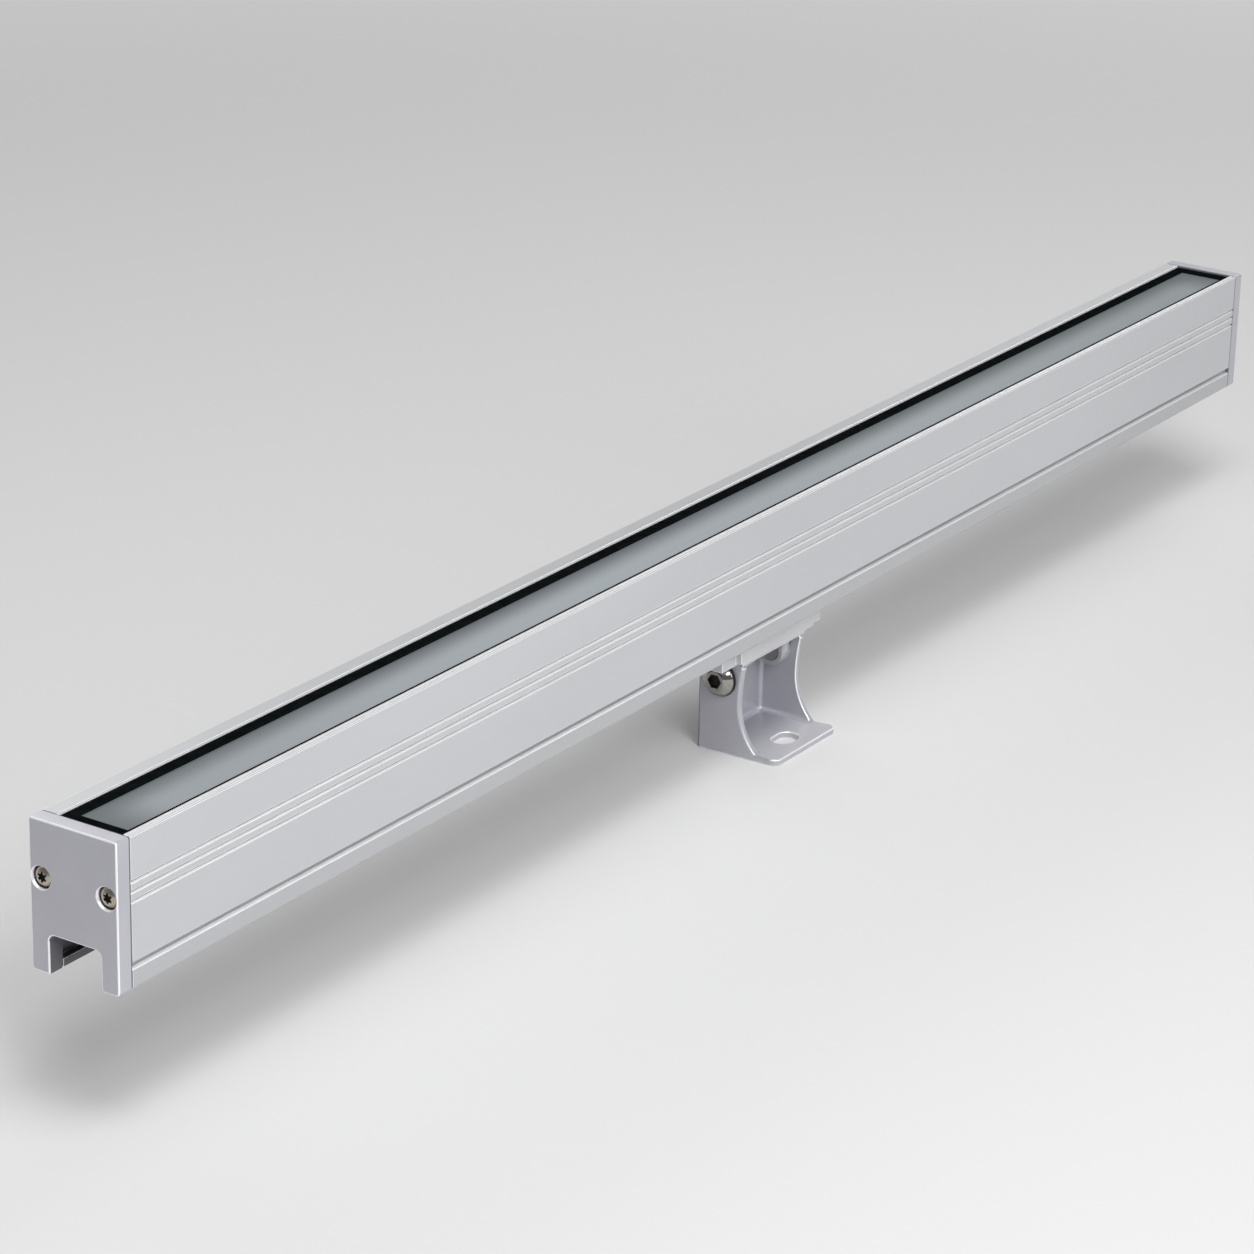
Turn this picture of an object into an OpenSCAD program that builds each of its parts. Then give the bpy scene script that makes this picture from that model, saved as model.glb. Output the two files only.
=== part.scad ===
// Outdoor linear wall washer light on one tilting foot bracket.
// X runs along the bar, -Y is the side with the narrow rail, +Z is the way the light shines.
// The origin is on the underside of the foot, straight below the pivot screws.

/* [Bar] */
// Length of the whole bar, over both end caps
bar_l = 600; // [300:10:1200]
// Width of the bar
bar_w = 27; // [26:0.5:36]
// Height of the bar
bar_h = 40; // [38:0.5:56]
// Side wall of the extrusion
wall_t = 2; // [1.6:0.1:2.6]
// Width of the rail behind the glass
back_rail_w = 5; // [3:0.1:6]
// Width of the rail in front of the glass
front_rail_w = 2.4; // [2:0.1:4]
// Broken edge along the extrusion's sharp corners
edge_break = 0.35; // [0.2:0.05:0.5]
// Width of the fine line along the front rail
rail_line_w = 0.5; // [0.3:0.05:0.7]
// How far to the right of the bar's middle the bracket stands
bracket_x = 5; // [-150:1:150]

/* [Side grooves] */
// Width of a fine decorative groove
groove_w = 0.75; // [0.4:0.05:1]
// Depth of a fine groove
groove_d = 0.6; // [0.2:0.05:0.8]
// Broken lower edge of every groove
groove_break = 0.25; // [0.05:0.05:0.3]
// Distance from the top of the bar to the first fine groove
groove_drop = 11.7; // [10:0.1:14]
// Step from one fine groove to the next
groove_pitch = 2.6; // [2:0.1:3]
// Number of fine grooves on a side
groove_count = 3; // [1:1:4]
// Width of the broad groove near the bottom
low_groove_w = 1.7; // [1:0.1:2.5]
// Depth of the broad groove
low_groove_d = 1; // [0.3:0.05:1.2]
// Height of the middle of the broad groove over the bottom of the bar
low_groove_z = 6.4; // [5:0.1:8]

/* [Bracket channel] */
// Width of the channel's mouth
channel_w = 16.2; // [14:0.1:18]
// Depth of the channel
channel_h = 10.5; // [9:0.1:12]
// Thickness of the lips that hold the slider
lip_h = 2.2; // [1.8:0.1:3]
// Width of the channel above the lips
undercut_w = 20.6; // [19:0.1:21]
// Thickness of the channel's roof
roof_t = 2; // [1.6:0.1:3]
// Radius of the rounded corners of the bar's underside
foot_edge_r = 1; // [0.5:0.1:1.5]

/* [Glass and seal] */
// Thickness of the frosted glass
glass_t = 3.3; // [3:0.1:5]
// Depth of the seal's face below the rails
seal_drop = 0.55; // [0.3:0.05:1.5]
// Thickness of the seal's lips over and under the glass
seal_lip_t = 0.5; // [0.4:0.05:1]
// Thickness of the seal round the edge of the glass
seal_side_t = 0.5; // [0.4:0.05:1]
// Visible width of the seal at the back
seal_back_w = 3.4; // [1:0.1:4]
// Visible width of the seal at the front
seal_front_w = 1.2; // [1:0.1:4]
// Visible width of the seal at both ends
seal_end_w = 3.6; // [1:0.1:6]
// Width of the ledge that carries the glass
ledge_w = 1.5; // [1.1:0.1:2]
// Thickness of that ledge
ledge_t = 1.5; // [1:0.1:2]

/* [End caps] */
// Thickness of an end cap
cap_t = 4.6; // [4:0.1:8]
// Thickness of the gasket behind it
gasket_t = 0.5; // [0.4:0.1:1.5]
// How far the gasket's edge lies inside the cap's edge
gasket_inset = 0.2; // [0.1:0.1:1]
// Radius of the corners of the cap's channel
cap_channel_r = 1.9; // [1:0.1:3]
// Distance from the bar's side to the middle of a cap screw
cap_screw_in = 3.4; // [3.2:0.1:4]
// Height of the cap screws over the bottom of the bar
cap_screw_z = 24.8; // [22:0.1:26]
// Thread radius of a cap screw
cap_screw_r = 1.5; // [1.25:0.25:1.5]
// Length of a cap screw under its head
cap_screw_l = 10; // [8:1:20]
// Head radius of a cap screw
cap_head_r = 2.7; // [2.3:0.1:2.8]
// Head height of a cap screw
cap_head_h = 2.1; // [1.8:0.1:2.4]
// Gap round a cap screw's head in its counterbore
cap_head_gap = 0.35; // [0.2:0.05:0.4]

/* [Foot bracket] */
// Width of the foot along the bar
foot_w = 34; // [30:0.5:40]
// Distance from the pivot to the back of the foot
foot_back = 7.4; // [7:0.1:8]
// Distance from the pivot to the front edge of the base
foot_front = 20.4; // [18:0.1:30]
// Thickness of the base
foot_base_t = 2; // [1.8:0.1:3]
// Thickness of a cheek and of the back wall
foot_wall_t = 2; // [1.8:0.1:2.4]
// Height of the pivot over the underside
pivot_h = 23.4; // [22:0.1:30]
// Radius of a cheek's rounded top
cheek_top_r = 9; // [8.6:0.1:9.4]
// Distance from the pivot to the waist of the cheek's front edge
waist_y = 6.6; // [6:0.1:7]
// Drop from the pivot to that waist
waist_drop = 6.8; // [6:0.1:8]
// Radius of the front edge above the waist
upper_edge_r = 54; // [40:1:80]
// Radius of the front edge below the waist
lower_edge_r = 20.3; // [18:0.1:26]
// Fillet inside the casting
foot_fillet = 1.6; // [1:0.1:2]
// Radius of the front corners of the base
foot_corner_r = 2.4; // [1:0.1:4]
// Radius of the back corners of the foot
foot_back_r = 0.8; // [0.5:0.1:1.8]
// Radius of the foot's outer edges
foot_round_r = 0.8; // [0.4:0.1:1.2]
// Radius of the ends of the screw slot
slot_r = 3.3; // [2.5:0.1:3.5]
// Length of the screw slot from end to end
slot_l = 9.8; // [8:0.1:14]
// Distance from the pivot to the middle of the slot
slot_y = 12.8; // [12:0.1:16]

/* [Slider block] */
// Drop from the bottom of the bar to the pivot
pivot_drop = 13.8; // [13.4:0.1:16]
// Length of the block in the channel
slider_l = 55; // [50:1:70]
// Height of the block's middle below the bar
slider_drop = 6.5; // [6:0.1:7]
// Width of the block's two ends below the bar
tail_w = 14.2; // [11:0.1:15.6]
// Gap between those ends and the washers under the pivot screws' heads
tail_gap = 0.7; // [0.4:0.1:1]
// Thickness of the block's wings in the channel
wing_t = 3; // [2.5:0.1:4]
// Clearance of the slider in the channel
slide_gap = 0.15; // [0.1:0.01:0.25]
// Length of the pads on the block's sides
pad_l = 40.5; // [36:0.5:46]
// How far a pad stands out
pad_t = 1.15; // [0.8:0.05:1.5]
// Drop of the saddle's skirts below the bar
skirt_drop = 8.3; // [8:0.1:9.2]
// Gap between the saddle and the cheeks' rounded tops
saddle_gap = 0.3; // [0.25:0.05:0.5]
// Radius of a pivot lug
lug_r = 4.4; // [4.2:0.1:5]
// Thickness of a pivot lug
lug_t = 4; // [3:0.5:8]

/* [Pivot and lock screws] */
// Thread radius of a pivot screw
pivot_r = 3; // [2.5:0.5:3]
// Radial clearance of a pivot screw in its cheek
pivot_gap = 0.08; // [0.04:0.01:0.1]
// Head radius of a pivot screw
pivot_head_r = 5.25; // [4.5:0.05:5.5]
// Head height of a pivot screw
pivot_head_h = 3.3; // [2.8:0.1:3.6]
// Width across the flats of the hexagon socket
socket_af = 4; // [3:0.5:4]
// Depth of the hexagon socket
socket_d = 2; // [1.5:0.1:2.2]
// Radius of the black washer under a head
washer_r = 5.75; // [5.6:0.05:6.2]
// Thickness of that washer
washer_t = 0.6; // [0.4:0.1:1]
// Thickness of the friction washer between lug and cheek
friction_t = 0.5; // [0.4:0.1:0.8]
// Gap between flat faces that turn on each other
face_gap = 0.1; // [0.05:0.05:0.2]
// Thread radius of a lock screw
lock_r = 2; // [1.5:0.5:2.5]
// Length of a lock screw
lock_l = 15; // [14:0.5:16]
// Distance from the end of the block to a lock screw
lock_in = 3.8; // [3:0.1:5]

/* [Light source] */
// Width of the circuit board that carries the lamps
board_w = 18.6; // [17:0.1:19]
// Thickness of the circuit boards
board_t = 1.6; // [1:0.1:2]
// Thickness of the web under that board
web_t = 1.5; // [1.2:0.1:2]
// Distance from the ends of the extrusion to the board
board_in = 9; // [6:1:20]
// Step from one lamp to the next
lamp_pitch = 25; // [20:1:40]
// Side of a lamp
lamp_w = 3.2; // [2.8:0.1:3.5]
// Height of a lamp
lamp_h = 1.6; // [1:0.1:2]
// Width of the lens strip
lens_w = 10; // [8:0.1:11]
// Height of the lens strip's feet
lens_h = 2.3; // [2:0.1:2.6]
// Radius of the lens strip's round crown
lens_r = 6; // [5.5:0.1:8]
// Width and height of the hollow over the lamps
lens_hollow = 4.6; // [4:0.1:5]
// Number of board screws
board_screw_count = 4; // [2:1:8]
// Thread radius of a board screw
board_screw_r = 1.25; // [1:0.25:1.5]
// Head radius of a board screw
board_head_r = 2.2; // [2:0.1:2.4]
// Head height of a board screw
board_head_h = 1.3; // [1:0.1:1.6]

/* [Driver] */
// Length of the driver board
driver_l = 150; // [110:5:200]
// Width of the driver board
driver_w = 19; // [17:0.5:20]
// Distance from the bar's middle to the middle of the driver board
driver_x = 150; // [100:5:180]
// Height of the two ribs that it stands on
rib_h = 2; // [1.5:0.1:3]
// Width of those ribs
rib_w = 1.5; // [1:0.1:2]
// Distance from the bar's middle to a rib
rib_y = 7.5; // [7:0.1:8]
// Radius of a lead wire
wire_r = 0.8; // [0.6:0.1:1]
// Step between the lead wires
wire_pitch = 2.4; // [2:0.1:3]
// Radius of the hole in the web for the wires
wire_hole_r = 2.6; // [2.4:0.1:3]

/* [Cable gland] */
// Distance from the bar's middle to the gland
gland_x = 270; // [120:5:580]
// Thread radius of the gland
gland_r = 4; // [3.5:0.5:4]
// Width across the flats of the gland's hexagon
gland_af = 12; // [11:0.5:13]
// Height of the hexagon
gland_hex_h = 3; // [2.5:0.1:3.5]
// Height of the round nose below the hexagon
gland_nose_h = 3; // [2.5:0.1:3.5]
// Radius of the nose
gland_nose_r = 5; // [4.5:0.1:5.2]
// Length of the gland's thread
gland_thread_l = 6; // [5:0.1:8]
// Radius of the hole for the cable
cable_r = 2.5; // [2:0.1:3]
// Wall of the rubber sleeve in the gland
sleeve_t = 0.6; // [0.5:0.1:0.8]
// Thickness of the rubber ring over the gland's hexagon
gland_ring_t = 0.8; // [0.6:0.1:1.2]

/* [Hidden] */
$fn = 48;

// Overrun of every cut past the faces that it opens
over = 1;
// Clearance of a screw in its plain hole, and of a thread in its tapped hole
hole_gap = 0.2;
thread_gap = 0.05;
// Six-lobe recess of the small screws, as shares of the head radius
lobe_ring_share = 0.38;
lobe_share = 0.12;
recess_share = 0.55;
// Dome of a lamp, as a share of its width
lamp_dome_share = 0.42;
// Parts of the driver, as shares of its board's length and width, and of the room over it
can_x_shares = [-0.3, -0.18];
can_r_share = 0.2;
can_l_share = 0.1;
coil_r_share = 0.3;
coil_core_share = 0.7;
coil_h_share = 0.72;
flange_share = 0.12;
chip_x_shares = [0.15, 0.24];
chip_share = 0.32;
block_x_share = -0.43;

// Heights of the bar
bar_z = pivot_h + pivot_drop;
roof_z = bar_z + channel_h;
floor_z = roof_z + roof_t;
top_z = bar_z + bar_h;
seal_top_z = top_z - seal_drop;
glass_top_z = seal_top_z - seal_lip_t;
glass_z = glass_top_z - glass_t;
ledge_z = glass_z - seal_lip_t;
screw_z = bar_z + cap_screw_z;
port_r = cap_screw_r + wall_t - edge_break;
web_z = screw_z + port_r - web_t / 2;
board_z = web_z + web_t;
lamp_z = board_z + board_t;
driver_z = floor_z + rib_h;
wing_z = bar_z + lip_h + slide_gap;
gland_top_z = roof_z - gland_ring_t;
gland_low_z = gland_top_z - gland_hex_h - gland_nose_h;

// Lengths along the bar
ext_l = bar_l - 2 * (cap_t + gasket_t);
board_l = ext_l - 2 * board_in;
lamp_count = floor(board_l / lamp_pitch);
lamp_x0 = -(lamp_count - 1) * lamp_pitch / 2;

// Widths across the bar
half_w = bar_w / 2;
glass_back = half_w - back_rail_w;
glass_front = -half_w + front_rail_w;
screw_y = half_w - cap_screw_in;
port_hole_r = cap_screw_r + thread_gap;
board_y0 = (glass_front + glass_back - board_w) / 2;
board_screw_y = board_y0 + board_w - board_head_r;
lamp_y = (glass_front + seal_front_w + glass_back - seal_back_w) / 2;
neck_w = channel_w - 2 * slide_gap;
wing_w = undercut_w - 2 * slide_gap;

// Stack of faces on the pivot axis, from the middle of the bar outwards
cheek_in = foot_w / 2 - foot_wall_t;
friction_x = cheek_in - face_gap;
lug_x = friction_x - friction_t;
washer_x = foot_w / 2 + face_gap;
head_x = washer_x + washer_t;
saddle_r = cheek_top_r + saddle_gap;
lock_x = slider_l / 2 - lock_in;
tail_z = pivot_h + washer_r + tail_gap;
back_wall_h = pivot_h - lug_r - saddle_gap;

// Puts a piece of the bar in its place over the bracket
module on_bar() {
    translate([-bracket_x, 0, 0])
        children();
}

// Draws a profile in Y and Z, and pulls it out along X
module along_x(x, l) {
    translate([x, 0, 0])
        rotate([90, 0, 90])
            linear_extrude(l)
                children();
}

// A round bar along X
module rod_x(x, y, z, l, r) {
    translate([x, y, z])
        rotate([0, 90, 0])
            cylinder(h = l, r = r);
}

// A rectangle from its low corner to its high corner
module span(low, high) {
    translate(low)
        square([high[0] - low[0], high[1] - low[1]]);
}

// A box from its low corner to its high corner
module block(low, high) {
    translate(low)
        cube([high[0] - low[0], high[1] - low[1], high[2] - low[2]]);
}

// What a round corner takes off a square one that points along +X and +Y
module corner_off(r) {
    difference() {
        translate([-r, -r])
            square(r + over);
        translate([-r, -r])
            circle(r);
    }
}

// What a 45 degree edge takes off a square corner
module edge_off(s) {
    rotate(45)
        square(s * sqrt(2), center = true);
}

// A quarter round that fills an inner corner which opens along +X and +Y
module fillet(r) {
    difference() {
        square(r);
        translate([r, r])
            circle(r);
    }
}

// A groove in the +Y side, as deep as given at its floor and at its roof, with the edge of its floor broken
module side_groove(z, w, d, roof_d) {
    translate([half_w, z - w / 2]) {
        polygon([[over, 0], [-d, 0], [-roof_d, w], [over, w]]);
        edge_off(groove_break);
    }
}

// The grooves and corners of one long side, drawn on the +Y side
module side_cuts() {
    for (i = [0 : groove_count - 1])
        side_groove(top_z - groove_drop - i * groove_pitch, groove_w, groove_d, 0);
    side_groove(bar_z + low_groove_z, low_groove_w, low_groove_d, low_groove_d);
    translate([half_w, top_z])
        edge_off(edge_break);
    translate([half_w, bar_z])
        mirror([0, 1])
            corner_off(foot_edge_r);
}

// Profile of the extrusion
module housing_profile() {
    difference() {
        union() {
            difference() {
                span([-half_w, bar_z], [half_w, top_z]);
                // Bracket channel with its lips
                span([-channel_w / 2, bar_z - over], [channel_w / 2, roof_z]);
                span([-undercut_w / 2, bar_z + lip_h], [undercut_w / 2, roof_z]);
                // Driver chamber
                span([-half_w + wall_t, floor_z], [half_w - wall_t, web_z]);
                // Lamp chamber, the opening over its ledges, and the recess of the glass
                span([-half_w + front_rail_w, board_z], [half_w - front_rail_w, ledge_z - ledge_t]);
                span([glass_front + ledge_w, board_z], [glass_back - ledge_w, top_z]);
                span([glass_front, ledge_z], [glass_back, top_z + over]);
            }
            // Ribs under the driver board
            for (s = [-1, 1])
                span([s * rib_y - rib_w / 2, floor_z - roof_t / 2], [s * rib_y + rib_w / 2, driver_z]);
            // Ports for the cap screws
            for (s = [-1, 1])
                intersection() {
                    translate([s * screw_y, screw_z])
                        circle(port_r);
                    span([-half_w + wall_t / 2, floor_z], [half_w - wall_t / 2, board_z - web_t / 2]);
                }
        }
        for (s = [-1, 1])
            translate([s * screw_y, screw_z])
                circle(port_hole_r);
        side_cuts();
        mirror([1, 0])
            side_cuts();
        // Broken edges along the window
        for (y = [glass_front, glass_back])
            translate([y, top_z])
                edge_off(edge_break);
        // A fine line along the front rail
        translate([-half_w + front_rail_w / 2, top_z])
            edge_off(rail_line_w / 2);
    }
}

module housing() {
    color([0.78, 0.78, 0.79])
        on_bar()
            difference() {
                along_x(-ext_l / 2, ext_l)
                    housing_profile();
                // Cable gland's hole in the channel's roof
                translate([gland_x, 0, roof_z - over])
                    cylinder(h = roof_t + 2 * over, r = gland_r + hole_gap);
                // Tapped holes for the board screws
                for (x = board_screw_places())
                    translate([x, board_screw_y, web_z - over])
                        cylinder(h = web_t + 2 * over, r = board_screw_r + thread_gap);
                // Way for the lead wires
                translate([wire_x(), wire_y(), web_z - over])
                    cylinder(h = web_t + 2 * over, r = wire_hole_r);
            }
}

// The board screws stand between lamps, spread over the board
function board_screw_places() = [
    for (i = [0 : board_screw_count - 1])
        lamp_x0 + lamp_pitch * (0.5 + floor((lamp_count - 1) * (i + 0.5) / board_screw_count))
];

// The lead wires stand near the inner end of the driver board
function wire_x() = -driver_x + driver_l / 2 - wire_hole_r - wire_pitch;
function wire_y() = lamp_y;

// Outline of an end cap, drawn in or out by a margin
module cap_outline(inset) {
    difference() {
        span([-half_w + inset, bar_z + inset], [half_w - inset, top_z - inset]);
        cap_channel(inset);
        for (s = [0, 1])
            mirror([s, 0]) {
                translate([half_w - inset, bar_z + inset])
                    mirror([0, 1])
                        corner_off(foot_edge_r);
                translate([half_w - inset, top_z - inset])
                    corner_off(edge_break * 2);
            }
    }
}

// The channel's shape in an end cap, with two round upper corners
module cap_channel(inset) {
    difference() {
        span([-channel_w / 2 - inset, bar_z - over], [channel_w / 2 + inset, roof_z + inset]);
        for (s = [0, 1])
            mirror([s, 0])
                translate([channel_w / 2 + inset, roof_z + inset])
                    corner_off(cap_channel_r);
    }
}

// An end cap at the +X end
module end_cap() {
    difference() {
        intersection() {
            along_x(bar_l / 2 - cap_t, cap_t)
                cap_outline(0);
            // Broken edges round the outer face
            rotate([90, 0, 0])
                translate([0, 0, -half_w - over])
                    linear_extrude(bar_w + 2 * over)
                        difference() {
                            span([0, bar_z - over], [bar_l / 2, top_z + over]);
                            for (z = [bar_z, top_z])
                                translate([bar_l / 2, z])
                                    edge_off(edge_break);
                        }
            translate([0, 0, bar_z - over])
                linear_extrude(bar_h + 2 * over)
                    difference() {
                        span([0, -half_w - over], [bar_l / 2, half_w + over]);
                        for (y = [-half_w, half_w])
                            translate([bar_l / 2, y])
                                edge_off(edge_break);
                    }
        }
        for (s = [-1, 1]) {
            rod_x(bar_l / 2 - cap_t - over, s * screw_y, screw_z, cap_t + 2 * over, cap_screw_r + hole_gap);
            rod_x(cap_seat_x(), s * screw_y, screw_z, cap_head_h + over, cap_head_r + cap_head_gap);
            // Countersunk edge of the counterbore
            translate([bar_l / 2 - edge_break, s * screw_y, screw_z])
                rotate([0, 90, 0])
                    cylinder(
                        h = 2 * edge_break,
                        r1 = cap_head_r + cap_head_gap,
                        r2 = cap_head_r + cap_head_gap + 2 * edge_break
                    );
        }
    }
}

// Where a cap screw's head sits
function cap_seat_x() = bar_l / 2 - cap_head_h - cap_head_gap / 2;

module end_cap_right() {
    color([0.63, 0.63, 0.66])
        on_bar()
            end_cap();
}

module end_cap_left() {
    color([0.63, 0.63, 0.66])
        on_bar()
            mirror([1, 0, 0])
                end_cap();
}

// A gasket at the +X end
module end_gasket() {
    difference() {
        along_x(ext_l / 2, gasket_t)
            cap_outline(gasket_inset);
        for (s = [-1, 1])
            rod_x(ext_l / 2 - over, s * screw_y, screw_z, gasket_t + 2 * over, cap_screw_r + hole_gap);
    }
}

module end_gasket_right() {
    color([0.06, 0.06, 0.07])
        on_bar()
            end_gasket();
}

module end_gasket_left() {
    color([0.06, 0.06, 0.07])
        on_bar()
            mirror([1, 0, 0])
                end_gasket();
}

// Recess with six lobes, as deep as a share of the head
module lobes(r, h) {
    linear_extrude(h) {
        circle(r * lobe_ring_share);
        for (i = [0 : 5])
            rotate(i * 60)
                translate([r * lobe_ring_share, 0])
                    circle(r * lobe_share);
    }
}

// A pan head screw that points down, with the underside of its head at zero
module pan_screw(r, l, head_r, head_h) {
    difference() {
        union() {
            translate([0, 0, -l])
                cylinder(h = l + head_h / 2, r = r);
            rotate_extrude()
                intersection() {
                    square([head_r, head_h]);
                    union() {
                        square([head_r, head_h / 2]);
                        translate([0, head_h / 2])
                            scale(head_r)
                                circle(1);
                    }
                    translate([0, head_h - pan_crown(head_r, head_h)])
                        circle(pan_crown(head_r, head_h));
                }
        }
        translate([0, 0, head_h * (1 - recess_share)])
            lobes(head_r, head_h * recess_share + over);
    }
}

// Radius of a crown that falls half the head's height at its edge
function pan_crown(head_r, head_h) = (head_r * head_r + head_h * head_h / 4) / head_h;

module end_cap_screws() {
    color([0.72, 0.69, 0.64])
        on_bar()
            for (m = [0, 1], s = [-1, 1])
                mirror([m, 0, 0])
                    translate([cap_seat_x(), s * screw_y, screw_z])
                        rotate([0, 90, 0])
                            pan_screw(cap_screw_r, cap_screw_l, cap_head_r, cap_head_h);
}

// The pane of glass, in the seal all round
module pane() {
    block(
        [-ext_l / 2 + seal_side_t, glass_front + seal_side_t, glass_z],
        [ext_l / 2 - seal_side_t, glass_back - seal_side_t, glass_top_z]
    );
}

module glass_cover() {
    color([0.62, 0.66, 0.67])
        on_bar()
            pane();
}

module glass_seal() {
    color([0.03, 0.04, 0.04])
        on_bar()
            difference() {
                block([-ext_l / 2, glass_front, ledge_z], [ext_l / 2, glass_back, seal_top_z]);
                pane();
                // Window over the glass
                block(
                    [-ext_l / 2 + seal_end_w, glass_front + seal_front_w, glass_top_z - over],
                    [ext_l / 2 - seal_end_w, glass_back - seal_back_w, seal_top_z + over]
                );
                // Window under the glass, as wide as the ledges leave it
                block(
                    [-ext_l / 2 + seal_end_w, glass_front + ledge_w, ledge_z - over],
                    [ext_l / 2 - seal_end_w, glass_back - ledge_w, glass_z + over]
                );
            }
}

module led_board() {
    color([0.92, 0.92, 0.9])
        on_bar()
            difference() {
                block([-board_l / 2, board_y0, board_z], [board_l / 2, board_y0 + board_w, lamp_z]);
                for (x = board_screw_places())
                    translate([x, board_screw_y, board_z - over])
                        cylinder(h = board_t + 2 * over, r = board_screw_r + hole_gap);
            }
}

module led_lamps() {
    color([0.95, 0.85, 0.35])
        on_bar()
            for (i = [0 : lamp_count - 1])
                translate([lamp_x0 + i * lamp_pitch, lamp_y, lamp_z]) {
                    translate([-lamp_w / 2, -lamp_w / 2, 0])
                        cube([lamp_w, lamp_w, lamp_h / 2]);
                    cylinder(h = lamp_h, r = lamp_w * lamp_dome_share);
                }
}

// One long lens, flat underneath, with a hollow for the lamps
module lens_strip() {
    color([0.9, 0.93, 0.95, 0.6])
        on_bar()
            along_x(-board_l / 2, board_l)
                translate([lamp_y, lamp_z])
                    difference() {
                        intersection() {
                            translate([-lens_w / 2, 0])
                                square([lens_w, lens_r]);
                            translate([0, lens_h - sqrt(lens_r * lens_r - lens_w * lens_w / 4)])
                                circle(lens_r);
                        }
                        translate([-lens_hollow / 2, -over])
                            square([lens_hollow, lens_hollow / 2 + over]);
                    }
}

module board_screws() {
    color([0.75, 0.75, 0.76])
        on_bar()
            for (x = board_screw_places())
                translate([x, board_screw_y, lamp_z])
                    pan_screw(board_screw_r, board_t + web_t + board_head_h, board_head_r, board_head_h);
}

module driver_board() {
    color([0.1, 0.35, 0.2])
        on_bar()
            translate([-driver_x - driver_l / 2, -driver_w / 2, driver_z])
                cube([driver_l, driver_w, board_t]);
}

module driver_parts() {
    z = driver_z + board_t;
    room = web_z - z;
    can_r = can_r_share * driver_w;
    chip_w = chip_share * driver_w;
    // Electrolytic cans that lie along the board
    color([0.12, 0.12, 0.14])
        on_bar()
            for (s = can_x_shares)
                rod_x(-driver_x + s * driver_l, 0, z + can_r, can_l_share * driver_l, can_r);
    // Choke with its two flanges
    color([0.3, 0.3, 0.32])
        on_bar()
            translate([-driver_x, 0, z]) {
                cylinder(h = room * coil_h_share, r = coil_r_share * driver_w * coil_core_share);
                for (h = [0, coil_h_share - flange_share])
                    translate([0, 0, room * h])
                        cylinder(h = room * flange_share, r = coil_r_share * driver_w);
            }
    // Control chips
    color([0.08, 0.08, 0.09])
        on_bar()
            for (s = chip_x_shares)
                translate([-driver_x + s * driver_l, -chip_w / 2, z])
                    cube([chip_w, chip_w, board_t]);
    // Terminal block for the cable
    color([0.15, 0.4, 0.25])
        on_bar()
            translate([-driver_x + block_x_share * driver_l, -driver_w / 4, z])
                cube([driver_w / 3, driver_w / 2, room / 2]);
}

// Two leads from the driver board up to the lamp board
module lead_wires() {
    color([0.75, 0.1, 0.08])
        on_bar()
            for (s = [-1, 1])
                translate([wire_x() + s * wire_pitch / 2, wire_y(), driver_z + board_t])
                    cylinder(h = board_z - driver_z - board_t, r = wire_r);
}

// A hexagon under or over the roof, for the gland and its nut
module gland_hex(z) {
    translate([gland_x, 0, z])
        cylinder(h = gland_hex_h, r = gland_af / 2 / cos(30), $fn = 6);
}

// A round piece on the gland's axis, from a low height to a high one
module gland_rod(low, high, r) {
    translate([gland_x, 0, low])
        cylinder(h = high - low, r = r);
}

// Gland in the channel's roof, nose down
module cable_gland() {
    color([0.72, 0.72, 0.7])
        on_bar()
            difference() {
                union() {
                    gland_hex(gland_top_z - gland_hex_h);
                    translate([gland_x, 0, gland_low_z])
                        rotate_extrude()
                            difference() {
                                square([gland_nose_r, gland_nose_h + gland_hex_h / 2]);
                                translate([gland_nose_r, 0])
                                    mirror([0, 1])
                                        corner_off(gland_nose_h / 2);
                            }
                    gland_rod(gland_top_z - gland_hex_h / 2, roof_z + gland_thread_l, gland_r);
                }
                gland_rod(gland_low_z - over, roof_z + gland_thread_l + over, cable_r + sleeve_t);
            }
}

module gland_ring() {
    color([0.08, 0.08, 0.09])
        on_bar()
            difference() {
                gland_rod(gland_top_z, roof_z, gland_nose_r);
                gland_rod(gland_top_z - over, roof_z + over, gland_r + thread_gap);
            }
}

module gland_sleeve() {
    color([0.08, 0.08, 0.09])
        on_bar()
            difference() {
                gland_rod(gland_low_z, roof_z + gland_thread_l / 2, cable_r + sleeve_t);
                gland_rod(gland_low_z - over, roof_z + gland_thread_l, cable_r);
            }
}

module gland_nut() {
    color([0.72, 0.72, 0.7])
        on_bar()
            difference() {
                gland_hex(floor_z);
                gland_rod(floor_z - over, floor_z + gland_hex_h + over, gland_r + thread_gap);
            }
}

// Side view of a cheek in Y and Z
module cheek_profile() {
    difference() {
        intersection() {
            union() {
                translate([0, pivot_h])
                    circle(cheek_top_r);
                span([-foot_front, 0], [foot_back, pivot_h]);
            }
            span([-foot_front, 0], [foot_back, pivot_h + cheek_top_r]);
        }
        // Hollow front edge: a long curve above the waist and a round one below
        intersection() {
            translate([-waist_y - upper_edge_r, pivot_h - waist_drop])
                circle(upper_edge_r);
            span([-foot_front - over, pivot_h - waist_drop], [foot_back, pivot_h + cheek_top_r + over]);
        }
        intersection() {
            translate([-waist_y - lower_edge_r, pivot_h - waist_drop])
                circle(lower_edge_r);
            span([-foot_front - over, -over], [foot_back, pivot_h - waist_drop]);
        }
    }
}

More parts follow.
